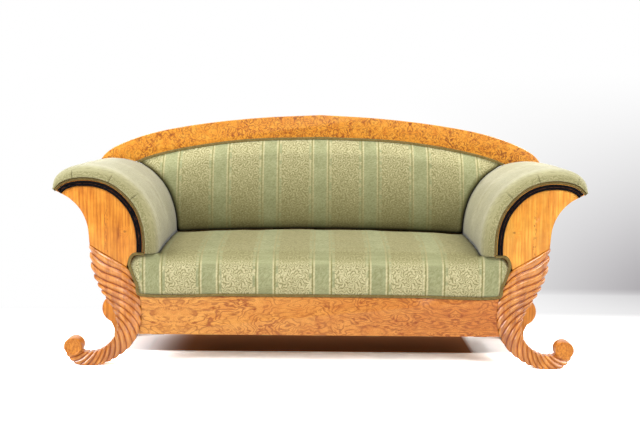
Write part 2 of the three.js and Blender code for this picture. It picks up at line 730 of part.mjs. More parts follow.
// The outer cloth covers the frame from behind, up to the crest
function outerCloth() {
  const foot = crestFootLine.filter((p) => p.x < stileOuter).map((p) => point(p.x, p.z + overrun));
  const edge = [...foot, point(stileOuter, foot.at(-1).z)];
  const other = edge.slice(1).map((p) => point(-p.x, p.z)).reverse();
  const hem = [point(stileOuter, railFoot), point(-stileOuter, railFoot)];
  const back = crestFront + crestThick + joint;
  return leaned(board([...edge, ...hem, ...other], back, back + clothThick));
}
add('outer_back_cloth', outerCloth(), plainCloth);

// Webbing: straps that cross, fused where they lie on each other
const union = (solids) => solids.reduce((whole, next) => whole.add(next));
function spread(count, from, to) {
  return Array.from({ length: count }, (_, i) => mix(from, to, i / (count - 1)));
}

function backWebbing() {
  const [y0, y1] = [frameFront - joint - webThick, frameFront - joint];
  const foot = lowerRailTop - lowerRailHeight / 2;
  const reach = stileInner - webWidth;
  const upright = spread(backWebCount, -reach, reach).map((x) => {
    const head = Math.min(crestFootAt(x - webWidth / 2), crestFootAt(x + webWidth / 2)) - joint;
    return toSolid(block(x - webWidth / 2, x + webWidth / 2, y0, y1, foot, head));
  });
  const lowest = lowerRailTop + webWidth;
  const highest = crestFootAt(stileOuter) - 2 * webWidth;
  const cross = spread(backCrossWebCount, lowest, highest).map((z) =>
    toSolid(block(-stileOuter + overrun, stileOuter - overrun, y0, y1, z, z + webWidth)));
  return leaned(toGeometry(union([...upright, ...cross])));
}
add('back_webbing', backWebbing(), jute);

const webTop = railFoot - joint;

function seatWebbing() {
  const reach = sideRailInner - webWidth - legSpan / 4;
  const strap = (x0, x1, y0, y1) => toSolid(block(x0, x1, y0, y1, webTop - webThick, webTop));
  const lengthwise = spread(seatWebCount, -reach, reach).map((x) =>
    strap(x - webWidth / 2, x + webWidth / 2, frontRailInset + joint, backRailBack));
  const crosswise = spread(seatCrossWebCount, legThick + webWidth, rearBoardFront - 2 * webWidth).map((y) =>
    strap(-sideRailFace, sideRailFace, y, y + webWidth));
  return leaned(toGeometry(union([...lengthwise, ...crosswise])));
}
add('seat_webbing', seatWebbing(), jute);

// Springs: waisted coils that stand on the webbing and carry the seat's cloth
const springFoot = webTop + joint + wire / 2;
const springHead = railTop - joint - wire / 2;
const springSteps = 8;
const springTurn = (2 * Math.PI) / springSteps;

function springPoint(step) {
  const t = step / (springCurlCount * springSteps);
  const radius = mix(springRadius, springWaist, Math.sin(Math.PI * t));
  const rise = t - (springGatherShare * Math.sin(2 * Math.PI * t)) / (2 * Math.PI);
  const turn = step * springTurn;
  const height = mix(springFoot, springHead, rise);
  return new THREE.Vector3(radius * Math.cos(turn), radius * Math.sin(turn), height);
}

function spring(x, y) {
  const sides = 5;
  const place = new THREE.Vector3(x, y, 0);
  const rings = countTo(springCurlCount * springSteps).map((step) => {
    const centre = springPoint(step);
    const turn = step * springTurn;
    return countTo(sides - 1).map((i) => {
      const angle = (2 * Math.PI * i) / sides;
      const out = (wire / 2) * Math.cos(angle);
      const up = (wire / 2) * Math.sin(angle);
      return new THREE.Vector3(out * Math.cos(turn), out * Math.sin(turn), up).add(centre).add(place);
    });
  });
  return loft(rings);
}

// The least gap between a spring's wire and itself, on points along it
function springSelfGap() {
  const fine = 4;
  const places = countTo(springCurlCount * springSteps * fine).map((i) => springPoint(i / fine));
  const halfTurn = (springSteps * fine) / 2;
  const gaps = places.map((p, i) => places.slice(i + halfTurn).map((q) => p.distanceTo(q)));
  return Math.min(...gaps.flat()) - wire;
}

spread(springColumnCount, -(springColumnCount - 1) / 2, (springColumnCount - 1) / 2).forEach((column, i) => {
  springRowNames.forEach((rowName, row) => {
    const place = [column * springPitch, springRowStart + row * springRowPitch];
    add('spring_' + rowName + '_' + (i + 1), spring(...place), springSteel);
  });
});

// Cloth over the springs, tacked on top of the rails
const seatClothTop = railTop + joint + clothThick;

function seatCloth() {
  const [front, side, rear] = [frontRailInset, legThick + 2 * joint, rearBoardFront - 2 * joint];
  const inner = legFlank - overrun;
  const atFront = [[inner, front], [inner, side], [sideRailFace, side]];
  const atRear = [[sideRailFace, rear], [stileOuter, rear], [stileOuter, backRailFront + overrun]];
  const right = [...atFront, ...atRear];
  const left = right.map(([x, y]) => [-x, y]).reverse();
  return leaned(sheet([...right, ...left], railTop + joint, seatClothTop));
}
add('seat_cloth', seatCloth(), jute);

// Seat stuffing: crowned, with a front border whose rounded ends fill up to the legs
const armPadInner = armRoot - armPadBase - armPadThick;
const seatCrown = (y) => {
  const back = THREE.MathUtils.clamp((y - seatEdgeRoll) / (seatPadBack - seatEdgeRoll), 0, 1);
  return mix(seatFront, seatBack, Math.sin((back ** seatCrownBend * Math.PI) / 2));
};
const seatDrop = (y) => seatSideDrop * THREE.MathUtils.clamp(y / seatPadBack, 0, 1);
const seatOpenEdge = armPadInner - 2 * joint;
const seatShelf = armFoot - 2 * joint;
const seatFoot = seatClothTop + joint;
const borderBack = legThick - joint;

// A section across the seat's depth at a distance from the middle of the sofa
function seatSection(x) {
  const across = Math.abs(x);
  const open = across <= seatOpenEdge;
  const inEar = across > armRoot + joint;
  const earShare = (across - armRoot) / (seatEar - armRoot);
  const earline = inEar ? seatEarTop - seatEarDrop * earShare ** 3 : seatShelf;
  const edge = open ? seatFront : earline;
  const faded = THREE.MathUtils.smoothstep(across / armRoot, ...bulgeFadeShares);
  const bulge = seatBulge * mix(1, bulgeLeftShare, faded);
  const borderTopHeight = edge - seatEdgeRoll / 3;
  const front = borderShares.map(([y, z]) => [frontRailInset + y * bulge, mix(seatFoot, borderTopHeight, z)]);
  const clearOfStile = across <= stileOuter - overrun;
  const rear = clearOfStile && !inEar ? seatPadBack : rearBoardFront - joint;
  if (open) {
    const top = seatDepthShares.map((d) => {
      const y = mix(seatEdgeRoll, rear - seatEdgeRoll, d);
      return [y, seatCrown(y) - seatDrop(y) * (across / armPadInner) ** 2];
    });
    const [, last] = top.at(-1);
    return [...front, ...top, [rear, last - seatEdgeRoll / 2], [rear, seatFoot]];
  }
  const fall = (across - armRoot) / (sideRailInner - armRoot);
  const tuck = inEar ? mix(seatShelf, railTop + overrun, fall) : seatShelf;
  const shelf = seatShelfShares.map((share) => [mix(borderBack, rear, share), tuck]);
  const borderTop = [[seatEdgeRoll, edge], [borderBack, edge], [borderBack + joint, tuck]];
  return [...front, ...borderTop, ...shelf, [rear, tuck], [rear, seatFoot]];
}

function seatPad() {
  const half = seatAcrossShares.map((share) => share * seatOpenEdge);
  half.push(armPadInner - joint, stileOuter - overrun, stileOuter - overrun + joint, armRoot + joint);
  half.push(...seatEarShares.map((share) => mix(armRoot, seatEar, share)));
  half.sort((a, b) => a - b);
  const places = [...half.slice(1).map((x) => -x).reverse(), ...half];
  const rings = places.map((x) => seatSection(x).map(([y, z]) => new THREE.Vector3(x, y, z)));
  const body = toSolid(loft(rings));
  return leaned(toGeometry(body.subtract(legTrimTop).subtract(mirrorSolid(legTrimTop))));
}
add('seat_pad', seatPad(), stripedCloth);

// The room that the arms and their stuffing take, to trim the back's stuffing by
const armTrimOut = armPadBase + armPadThick + scribe;
const armTrimBack = armBack + crestThick;
const armTrimSection = [[0, 0], [armTrimOut, 0], [armTrimOut, armTrimBack], [0, armTrimBack]];
const armTrim = toSolid(strip(armCurve, armTrimSection, armStations));

// Back stuffing: it fills the arch between crest, arms and seat, and thins as it rises
const hessianBack = frameFront - 2 * joint - webThick;
const backPadBase = hessianBack - clothThick - joint;
const armPadSide = offsetLine(armCurve, stations(60), armPadBase + armPadThick - backPadTuck);
const backPadCorner = armPadSide.findIndex((p) => p.z > crestFootAt(p.x) - 2 * joint - backCornerDrop);
const backSide = armPadSide.slice(0, backPadCorner);
const seatBackTop = (x) => {
  const y = seatPadBack - seatEdgeRoll;
  return seatCrown(y) - seatDrop(y) * Math.min(1, Math.abs(x) / armPadInner) ** 2 + joint;
};
const cornerPoint = backSide.at(-1);

// A point of the pad's outline patch: u runs from side to side, v from seat to crest
function backPlace(u, v) {
  const side = Math.abs(u);
  const foot = backSide[0].x * side;
  const floor = seatBackTop(foot);
  const low = seatBackTop(backSide[0].x);
  const height = mix(low, cornerPoint.z, v);
  const row = backSide.findIndex((p) => p.z >= height);
  const [a, b] = [backSide[Math.max(row, 1) - 1], backSide[Math.max(row, 1)]];
  const part = THREE.MathUtils.clamp((height - a.z) / (b.z - a.z), 0, 1);
  const edge = row < 0 ? cornerPoint.x : mix(a.x, b.x, part);
  const x = edge * side;
  const top = crestFootAt(x) - 2 * joint;
  const slack = mix(low, crestFootAt(edge) - 2 * joint, v) - height;
  return point(Math.sign(u) * x, mix(floor, top, v) - slack * side ** 6);
}

function backOutline() {
  const across = stations(20, -1, 1);
  const between = stations(8).slice(1, -1);
  const foot = across.map((u) => backPlace(u, 0));
  const head = across.map((u) => backPlace(u, 1)).reverse();
  const left = between.map((v) => backPlace(-1, v)).reverse();
  const right = between.map((v) => backPlace(1, v));
  return [...foot, ...right, ...head, ...left];
}

function backHessian() {
  const cloth = toSolid(board(backOutline(), hessianBack - clothThick, hessianBack));
  return leaned(toGeometry(cloth.subtract(armTrim).subtract(mirrorSolid(armTrim))));
}
add('back_cloth', backHessian(), jute);

const backLipShare = (gimpWidth + scribe) / (cornerPoint.z - backSide[0].z);
const edgeRoll = (distance) => Math.sqrt(1 - (1 - THREE.MathUtils.clamp(distance, 0, 1)) ** 2);

function backPad() {
  const across = stations(16, -1, 1);
  const [footStart, footRun] = footRollShares;
  const [sideStart, sideRun] = sideRollShares;
  const rings = [...backRowShares, 1 - backLipShare, 1].map((v) => {
    const face = across.map((u) => {
      const atHead = edgeRoll((1 - v - backLipShare) / headRollShare);
      const atFoot = edgeRoll((v + footStart) / footRun);
      const atSide = edgeRoll((sideStart - Math.abs(u)) / sideRun);
      const full = mix(backPadFoot, backPadHead, v) + backPadBelly * Math.sin(Math.PI * v ** bellyBend);
      const thick = mix(backPadLip, full, atHead * atFoot * atSide);
      return backPlace(u, v).setY(backPadBase - thick);
    });
    const base = across.map((u) => backPlace(u, v).setY(backPadBase)).reverse();
    return [...face, ...base];
  });
  const body = toSolid(loft(rings, (ring) => foldedCap(ring, 1)));
  return leaned(toGeometry(body.subtract(armTrim).subtract(mirrorSolid(armTrim))));
}
add('back_pad', backPad(), stripedCloth);

// Braid on the back's stuffing, along the crest's foot
function gimpBack() {
  const right = crestFootLine.filter((p) => p.x < cornerPoint.x - gimpWidth);
  const left = right.slice(1).map((p) => point(-p.x, p.z)).reverse();
  const base = backPadBase - backPadLip - joint;
  return leaned(strip(along([...left, ...right]), gimpSection(-3 * joint, base, gimpWidth), stations(30)));
}
add('gimp_back', gimpBack(), braid);

// Braid round the seat's front border: down the rounded ends, along the legs and over the rail
function legInnerEdge(t) {
  const middle = spine.getPoint(t);
  const tangent = spine.getTangent(t);
  const reach = middle.z / 2 / Math.hypot(tangent.x, tangent.y);
  return point(middle.x + tangent.y * reach, middle.y - tangent.x * reach);
}

function gimpSeat() {
  const [lowest, highest] = [railTop + 2 * gimpWidth, seatEarTop - seatEarDrop];
  const legEdge = stations(60).map(legInnerEdge).filter((p) => p.z < highest && p.z > lowest);
  const byLeg = legEdge.filter((_, i) => i % 2 === 0);
  const [above, inside] = gimpTurnShares.map((share) => legEdge.at(-1).x - share * gimpWidth);
  const turn = [point(above, railTop + gimpWidth), point(inside, railTop), point(legFlank / 2, railTop)];
  const right = [...ear.getPoints(6).slice(0, -1), ...byLeg, ...turn];
  const left = right.map((p) => point(-p.x, p.z)).reverse();
  const line = along([...right, point(0, railTop), ...left]);
  const base = frontRailInset - gimpSeatShare * seatBulge;
  return strip(line, gimpSection(-2 * scribe, base, gimpWidth), stations(54));
}
add('gimp_seat', gimpSeat(), braid);

// The sofa stands centred on its floor plan
const crestBack = crestFront + crestThick + lean(crestTop - crestBevel);
sofa.position.y = (rollProud - crestBack) / 2;

console.log('least gap of a spring to itself ' + springSelfGap().toFixed(2) + ' mm');
export default sofa;
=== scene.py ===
# %% [markdown]
# # A scroll-armed sofa, dressed
# The construction comes in as a fixed frame: every rail, leg and pad at its real size.
# This script gives it its surfaces: polished veneer, rope carving, a damask stripe, braid and stuffing.
# It could all be painted onto the frame's own solids, but stuffing and carving live by their shape.
# So the hard, flat pieces keep the frame's solids and get a finish, and the soft and carved ones are made
# anew.

# %% Load the frame
import math

import bpy
import bmesh
import numpy as np
from mathutils import Euler, Matrix, Vector


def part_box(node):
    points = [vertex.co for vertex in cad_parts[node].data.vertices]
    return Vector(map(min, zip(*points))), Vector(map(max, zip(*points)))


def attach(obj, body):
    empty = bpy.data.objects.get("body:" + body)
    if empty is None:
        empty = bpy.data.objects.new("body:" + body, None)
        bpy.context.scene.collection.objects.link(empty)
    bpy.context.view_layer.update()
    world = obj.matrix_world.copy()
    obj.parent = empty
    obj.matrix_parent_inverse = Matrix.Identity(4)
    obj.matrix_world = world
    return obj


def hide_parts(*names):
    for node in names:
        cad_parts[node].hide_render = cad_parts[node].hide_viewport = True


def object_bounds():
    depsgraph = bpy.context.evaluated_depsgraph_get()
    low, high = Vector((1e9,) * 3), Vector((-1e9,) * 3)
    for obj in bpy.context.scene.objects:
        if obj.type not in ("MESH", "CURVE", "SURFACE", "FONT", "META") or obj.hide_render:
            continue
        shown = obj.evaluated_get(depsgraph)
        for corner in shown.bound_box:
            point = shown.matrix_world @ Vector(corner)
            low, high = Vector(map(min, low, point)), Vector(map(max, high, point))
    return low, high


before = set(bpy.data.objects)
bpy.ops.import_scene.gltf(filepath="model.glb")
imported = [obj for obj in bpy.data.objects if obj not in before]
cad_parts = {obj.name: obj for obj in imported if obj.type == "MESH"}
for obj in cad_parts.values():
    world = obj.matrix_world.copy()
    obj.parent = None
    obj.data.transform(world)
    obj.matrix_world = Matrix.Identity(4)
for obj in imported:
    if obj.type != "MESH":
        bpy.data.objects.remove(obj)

scene = bpy.context.scene
frame_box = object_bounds()
MM = 0.001
print("frame", [round(v / MM) for v in frame_box[1] - frame_box[0]], "mm")

# %% [markdown]
# ## The camera
# The photograph was taken square to the front, from about four metres, a little above the seat back.
# Its focal length, height and tilt were worked out from where known corners of the sofa fall in the picture.
# The picture is 640 pixels wide, so a focal length in pixels turns into millimetres on a 36 mm sensor.

# %% Camera
PICTURE_WIDTH = 640
FOCAL_PIXELS = 1015
SENSOR = 36
CAMERA_BACK = 3960 * MM
CAMERA_HEIGHT = 1035 * MM
CAMERA_TILT = math.radians(6.0)
CAMERA_ROLL = math.radians(0.49)

legs_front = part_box("front_leg_right")[0].y
camera_data = bpy.data.cameras.new("camera")
camera_data.sensor_width = SENSOR
camera_data.lens = SENSOR * FOCAL_PIXELS / PICTURE_WIDTH
camera = bpy.data.objects.new("camera", camera_data)
scene.collection.objects.link(camera)
camera.location = (0, legs_front - CAMERA_BACK, CAMERA_HEIGHT)
upright = Euler((math.pi / 2 - CAMERA_TILT, 0, 0)).to_matrix()
camera.rotation_euler = (upright @ Matrix.Rotation(CAMERA_ROLL, 3, "Z")).to_euler()
scene.camera = camera
print("lens", round(camera_data.lens, 1), "mm")

# %% [markdown]
# ## Colours and nodes
# A colour read off a swatch is an sRGB value, and a shader wants linear light, so one function turns it.
# Another adds a node with its settings and links. The small ones after it name the sums, mixes and noises
# that come up again and again, so a finish below reads like a recipe. Sizes of patterns are given in mm.

# %% Colours and scale
def linear(hex_colour):
    """An sRGB colour such as "#c9853c" as linear light with full alpha."""
    parts = [int(hex_colour[i : i + 2], 16) / 255 for i in (1, 3, 5)]
    light = [c / 12.92 if c <= 0.04045 else ((c + 0.055) / 1.055) ** 2.4 for c in parts]
    return (*light, 1.0)


def per(size_in_mm):
    """A texture's scale for a feature of that size: features to the metre."""
    return 1 / (size_in_mm * MM)


print("mid grey in linear light", round(linear("#808080")[0], 3))
print("a 10 mm pattern has scale", per(10))

# %% Nodes
def put(tree, kind, sockets, out=0, **settings):
    """Adds a node, sets or links its inputs, and gives back one of its outputs."""
    made = tree.nodes.new(kind)
    for name, value in settings.items():
        setattr(made, name, value)
    for key, value in sockets.items():
        if isinstance(value, bpy.types.NodeSocket):
            tree.links.new(value, made.inputs[key])
        else:
            made.inputs[key].default_value = value
    return made.outputs[out]


def math_of(tree, operation, *values):
    """One sum on values or sockets."""
    return put(tree, "ShaderNodeMath", dict(enumerate(values)), operation=operation)


def vector_of(tree, operation, *values, out=0, **sockets):
    """One sum on places or colours."""
    return put(tree, "ShaderNodeVectorMath", {**dict(enumerate(values)), **sockets}, out, operation=operation)


def between(tree, value, low, high, start=0.0, end=1.0, kind="LINEAR"):
    """Start where the value is at or below low, end where it is at or above high."""
    span = {0: value, 1: low, 2: high, 3: start, 4: end}
    return put(tree, "ShaderNodeMapRange", span, interpolation_type=kind)


def mix_of(tree, share, first, second, blend="MIX"):
    """Goes from the first colour to the second by a share, or lays the second over it in another way."""
    colours = {0: share, 6: first, 7: second}
    return put(tree, "ShaderNodeMix", colours, out=2, data_type="RGBA", blend_type=blend)


def noise_of(tree, place, size, detail, out=0, **sockets):
    """Soft noise with features of that size."""
    sockets = {"Vector": place, "Scale": per(size), "Detail": detail, **sockets}
    return put(tree, "ShaderNodeTexNoise", sockets, out)


def cells_of(tree, place, size, out="Distance"):
    """Scattered cells of that size: how far their middles are, or where."""
    return put(tree, "ShaderNodeTexVoronoi", {"Vector": place, "Scale": per(size)}, out)


def own_place(tree):
    """Where a point lies on its object, as a vector and in three parts."""
    spot = put(tree, "ShaderNodeTexCoord", {}, out="Object")
    return spot, put(tree, "ShaderNodeSeparateXYZ", {0: spot}).node.outputs


def own_value(tree, name, out="Fac"):
    """A value that the vertices carry."""
    return put(tree, "ShaderNodeAttribute", {}, out, attribute_name=name)


print("Blender offers", sum(kind.startswith("ShaderNode") for kind in dir(bpy.types)), "kinds of shader node")

# %% What every finish starts with
def new_finish(name, **surface):
    """A material with an empty Principled shader, whose even values are set on the shader itself."""
    material = bpy.data.materials.new(name)
    material.use_nodes = True
    tree = material.node_tree
    shader = tree.nodes["Principled BSDF"]
    for key, value in surface.items():
        shader.inputs[key.replace("_", " ").title().replace("Ior", "IOR")].default_value = value
    return material, tree, shader


def coloured(tree, shader, colour, height=None, strength=0.0, reach=0.0):
    """Gives a shader its colour and, where there is one, its relief with a reach in mm."""
    tree.links.new(colour, shader.inputs["Base Color"])
    if height is not None:
        relief = {"Height": height, "Strength": strength, "Distance": reach * MM}
        tree.links.new(put(tree, "ShaderNodeBump", relief), shader.inputs["Normal"])


def ramp(tree, factor, stops):
    """Colours or greys along a factor. Stops are pairs of a place and a hex colour, the two ends first."""
    output = put(tree, "ShaderNodeValToRGB", {0: factor})
    bar = output.node.color_ramp
    for i, (place, colour) in enumerate(stops):
        stop = bar.elements[i] if i < 2 else bar.elements.new(place)
        stop.position = place
        stop.color = linear(colour)
    return output


print("materials so far", len(bpy.data.materials))

# %% [markdown]
# ## The studio
# The sofa was shot on a white sweep. It is lit from overhead and above each arm, by a small box and a
# long strip high in front, and by a softbox on each side. A faint spot near the floor reaches the right
# arm's front. A floor that is white to the camera and plain to the light keeps the soft shadow that the
# seat casts; its brown, its sharp front edge and its ends are painted shadow in the floor's colour, and
# the grey of the backdrop to the right is painted shade. A sky of even light would flatten the carving,
# so most of the light comes from softboxes.

# %% Sweep
FLOOR_REACH = 9.0
WALL_FOOT = 1.3
WALL_CURVE = 0.3
CURVE_STEPS = 16


def sweep_mesh():
    """A floor that curves up into a wall close behind the sofa."""
    flat = [(-FLOOR_REACH, 0.0), (WALL_FOOT, 0.0)]
    bend = [(math.sin(a), 1 - math.cos(a)) for a in np.linspace(0, math.pi / 2, CURVE_STEPS)[1:]]
    curve = [(WALL_FOOT + WALL_CURVE * s, WALL_CURVE * c) for s, c in bend]
    line = flat + curve + [(WALL_FOOT + WALL_CURVE, FLOOR_REACH)]
    vertices = [(x, y, z) for y, z in line for x in (-FLOOR_REACH, FLOOR_REACH)]
    faces = [(2 * i, 2 * i + 1, 2 * i + 3, 2 * i + 2) for i in range(len(line) - 1)]
    mesh = bpy.data.meshes.new("studio_sweep")
    mesh.from_pydata(vertices, [], faces)
    mesh.polygons.foreach_set("use_smooth", [True] * len(faces))
    return mesh


sweep = bpy.data.objects.new("studio_sweep", sweep_mesh())
scene.collection.objects.link(sweep)
print("sweep", len(sweep.data.polygons), "faces")

# %% White paper
# Painted shadow under the seat: its front edge and two ends in metres, and its brown.
SHADOW_FRONT, SHADOW_LEFT, SHADOW_RIGHT = -0.083, -0.7, 0.66
PAINTED_SHADOW_BROWN = "#8a5a3c"
FLOOR_NEAR, FLOOR_UNDER = 3.6, 1.5
LIT_FLOOR_ENDS = (0.35, 0.8)


def looked_at(tree):
    """1 for rays from the camera or through glass, which find white, and 0 for light that fills the room."""
    ray = tree.nodes.new("ShaderNodeLightPath").outputs
    return math_of(tree, "MAXIMUM", ray["Is Camera Ray"], ray["Is Transmission Ray"])


def painted_shadow_tint(tree, x, y):
    """Painted shadow: brown on the floor under the seat, white beside it, laid over the shadow that the seat
    casts.
    """
    beyond_left = between(tree, x, SHADOW_LEFT - 0.16, SHADOW_LEFT + 0.16, kind="SMOOTHSTEP")
    within_right = between(tree, x, SHADOW_RIGHT - 0.015, SHADOW_RIGHT + 0.015, 1.0, 0.0)
    beyond_front = between(tree, y, SHADOW_FRONT - 0.008, SHADOW_FRONT + 0.008)
    sides = math_of(tree, "MULTIPLY", beyond_left, within_right)
    under = math_of(tree, "MULTIPLY", sides, beyond_front)
    return mix_of(tree, under, linear("#ffffff"), linear(PAINTED_SHADOW_BROWN))


def paper_glow(tree, x, y, z):
    """The white that the camera sees far behind, with painted shade that greys it towards the right, low on
    the wall and further back on the floor.
    """
    wall_low = math_of(tree, "POWER", between(tree, z, 0.0, 1.25, 1.0, 0.0), 1.3)
    wall_painted_shade = math_of(tree, "MULTIPLY", between(tree, x, 0.5, 1.85), wall_low)
    to_right = between(tree, x, 0.7, 1.8, 0.0, 0.55)
    floor_painted_shade = math_of(tree, "MULTIPLY", to_right, between(tree, y, -0.1, 1.3))
    on_wall = between(tree, y, WALL_FOOT - 0.02, WALL_FOOT + 0.1)
    painted_backdrop_shade = put(tree, "ShaderNodeMix", {0: on_wall, 2: floor_painted_shade, 3: wall_painted_shade}, data_type="FLOAT")
    colour = mix_of(tree, painted_backdrop_shade, linear("#ffffff"), linear("#aeabae"))
    return put(tree, "ShaderNodeEmission", {"Color": colour, "Strength": 1.0})


paper, tree, shader = new_finish("white_paper", roughness=0.9)
shader.inputs["Base Color"].default_value = linear("#e2dfdc")
x, y, z = own_place(tree)[1]
# Painted shadow: the floor is scaled much brighter in front of the shadow's front edge than under the seat,
# which sharpens that edge.
floor_scale_with_painted_shadow = between(tree, y, SHADOW_FRONT - 0.01, SHADOW_FRONT + 0.02, FLOOR_NEAR, FLOOR_UNDER)
bright = vector_of(tree, "SCALE", painted_shadow_tint(tree, x, y), Scale=floor_scale_with_painted_shadow)
bare_floor = put(tree, "ShaderNodeBsdfDiffuse", {"Color": bright})
lit_part = between(tree, y, *LIT_FLOOR_ENDS, 1.0, 0.0, kind="SMOOTHSTEP")
seen_floor = put(tree, "ShaderNodeMixShader", {0: lit_part, 1: paper_glow(tree, x, y, z), 2: bare_floor})
mixed = put(tree, "ShaderNodeMixShader", {0: looked_at(tree), 1: shader.outputs[0], 2: seen_floor})
from_behind = put(tree, "ShaderNodeNewGeometry", {}, out="Backfacing")
nothing = put(tree, "ShaderNodeBsdfTransparent", {})
one_sided = put(tree, "ShaderNodeMixShader", {0: from_behind, 1: mixed, 2: nothing})
tree.links.new(one_sided, tree.nodes["Material Output"].inputs["Surface"])
sweep.data.materials.append(paper)
print("paper", len(tree.nodes), "nodes")

# %% Air
SKY_STRENGTH = 0.38

world = bpy.data.worlds.new("studio_air")
scene.world = world
world.use_nodes = True
tree = world.node_tree
air = tree.nodes["Background"]
air.inputs["Color"].default_value = linear("#f4f2f0")
air.inputs["Strength"].default_value = SKY_STRENGTH
white = put(tree, "ShaderNodeBackground", {"Color": linear("#ffffff"), "Strength": 1.0})
sky = put(tree, "ShaderNodeMixShader", {0: looked_at(tree), 1: air.outputs[0], 2: white})
tree.links.new(sky, tree.nodes["World Output"].inputs["Surface"])
print("air", SKY_STRENGTH, "of full white")

# %% Lamps
def softbox(name, place, aim, size, watts, colour="#ffffff"):
    """A rectangular lamp that faces a point."""
    lamp = bpy.data.lights.new(name, "AREA")
    lamp.shape = "RECTANGLE"
    lamp.size, lamp.size_y = size
    lamp.energy = watts
    lamp.color = linear(colour)[:3]
    holder = bpy.data.objects.new(name, lamp)
    scene.collection.objects.link(holder)
    holder.location = place
    holder.rotation_euler = (Vector(aim) - Vector(place)).to_track_quat("-Z", "Y").to_euler()


sofa_middle = (frame_box[0] + frame_box[1]) / 2
softbox("overhead_softbox", (0.0, 0.25, 2.8), (0.0, 0.0, 0.5), (2.6, 1.0), 24)
softbox("left_arm_softbox", (-1.35, 0.35, 1.9), (-0.85, -0.05, 0.75), (0.7, 0.7), 15)
softbox("right_arm_softbox", (1.55, 0.3, 1.9), (0.9, -0.05, 0.75), (0.7, 0.7), 23)
softbox("front_softbox", (0.0, -3.6, 3.0), sofa_middle, (0.5, 0.5), 20)
softbox("strip_softbox", (0.0, -2.7, 3.2), (0.0, -0.3, 0.3), (3.4, 0.22), 46)
softbox("left_softbox", (-3.1, -1.4, 1.85), sofa_middle, (1.2, 1.8), 82, "#f6f9ff")
softbox("right_softbox", (2.8, -2.4, 1.7), sofa_middle, (1.2, 1.8), 48)
softbox("low_right_spot", (1.74, -4.3, 0.34), (0.87, -0.34, 0.67), (0.1, 0.07), 0.8)

# %% [markdown]
# ## Figured veneer
# Crest and front rail wear thin leaves cut from burled, root-like wood, laid side by side and mirrored at
# each seam. Such a figure is made of growth lines that close round buds, so it can be drawn as the
# contour lines of a soft noise, with tighter rings round scattered points. An image would be easier, but
# it would repeat and go soft. Shellac polish over it gives a warm body colour under a clear gloss.

# %% Waves, swirls and leaves
POLISH = {"roughness": 0.38, "coat_weight": 0.35, "coat_roughness": 0.12, "ior": 1.35}


def triangle(tree, value, times):
    """A wave that runs from 0 to 1 and back, that many times for each unit of the value."""
    rate = math_of(tree, "MULTIPLY", value, times)
    return math_of(tree, "MULTIPLY", math_of(tree, "PINGPONG", rate, 0.5), 2.0)


def swirled(tree, place, size, reach):
    """Places pushed about by a soft noise, so that what is drawn on them winds."""
    push = noise_of(tree, place, size, 3.0, out="Color")
    centred = vector_of(tree, "SUBTRACT", push, (0.5, 0.5, 0.5))
    return vector_of(tree, "ADD", place, vector_of(tree, "SCALE", centred, Scale=reach * MM))


def mirrored_leaves(tree, parts, leaf, first_seam, stretch):
    """Places on leaves that mirror each other at every seam, each pair cut from its own spot of the log."""
    moved = math_of(tree, "SUBTRACT", parts[0], first_seam * MM)
    mirrored = math_of(tree, "PINGPONG", moved, leaf * MM)
    pair = math_of(tree, "FLOOR", math_of(tree, "DIVIDE", moved, 2 * leaf * MM))
    long = math_of(tree, "DIVIDE", mirrored, stretch)
    return put(tree, "ShaderNodeCombineXYZ", {0: long, 1: pair, 2: parts[2]})


print("polish", POLISH)

# %% Figured veneer
def figured_veneer(
    name, body, leaf, first_seam, eye, contour, swirl=60, knots=0.07, stretch=1.0, lines=9, rings=5, shade_to_right_colour=None
):
    """Veneer in mirrored leaves. Sizes in mm: a leaf's width, the first seam, an eye and the lines' field."""
    material, tree, shader = new_finish(name, **POLISH)
    spot, parts = own_place(tree)
    place = swirled(tree, mirrored_leaves(tree, parts, leaf, first_seam, stretch), swirl, swirl * 0.5)

    growth = triangle(tree, noise_of(tree, place, contour, 2.2, Roughness=0.5), lines)
    cell = cells_of(tree, place, eye)
    near_eye = between(tree, cell, 0.12, 0.3, 1.0, 0.0, kind="SMOOTHSTEP")
    round_eyes = {0: near_eye, 2: growth, 3: triangle(tree, cell, rings)}
    figure = put(tree, "ShaderNodeMix", round_eyes, data_type="FLOAT")
    line = between(tree, figure, 0.0, 0.5, 1.0, 0.0, kind="SMOOTHSTEP")

    light, middle, deep, vein = body
    patch = noise_of(tree, place, 26, 4.0, Roughness=0.65)
    ground = ramp(tree, patch, [(0.3, deep), (0.7, light), (0.5, middle)])
    pores = ramp(tree, noise_of(tree, spot, 2.6, 2.0), [(0.32, "#d9d2cc"), (0.6, "#ffffff")])
    worm = noise_of(tree, place, 12, 3.0, Roughness=0.6)
    crawling = ramp(tree, worm, [(0.34, "#a8714a"), (0.5, "#ffffff")])
    region = noise_of(tree, place, 70, 2.0)
    burled = between(tree, region, 0.4, 0.6, 0.12, 0.85)
    grained = mix_of(tree, 1.0, ground, pores, "MULTIPLY")
    grained = mix_of(tree, burled, grained, crawling, "MULTIPLY")
    strength = between(tree, region, 0.38, 0.62, 0.42, 0.85)
    veined = mix_of(tree, math_of(tree, "MULTIPLY", line, strength), grained, linear(vein))
    dot = between(tree, cells_of(tree, place, 48), knots * 0.4, knots, 0.85, 0.0)
    colour = mix_of(tree, dot, veined, linear("#4a2a14"))
    # Painted shade: where a colour is given, the veneer is darkened towards the right, where less light
    # falls.
    if shade_to_right_colour is not None:
        painted_shade_to_right = ramp(tree, between(tree, parts[0], -0.5, 0.7), [(0.0, "#ffffff"), (1.0, shade_to_right_colour)])
        colour = mix_of(tree, 1.0, colour, painted_shade_to_right, "MULTIPLY")
    coloured(tree, shader, colour, line, 0.06, 0.4)
    return material


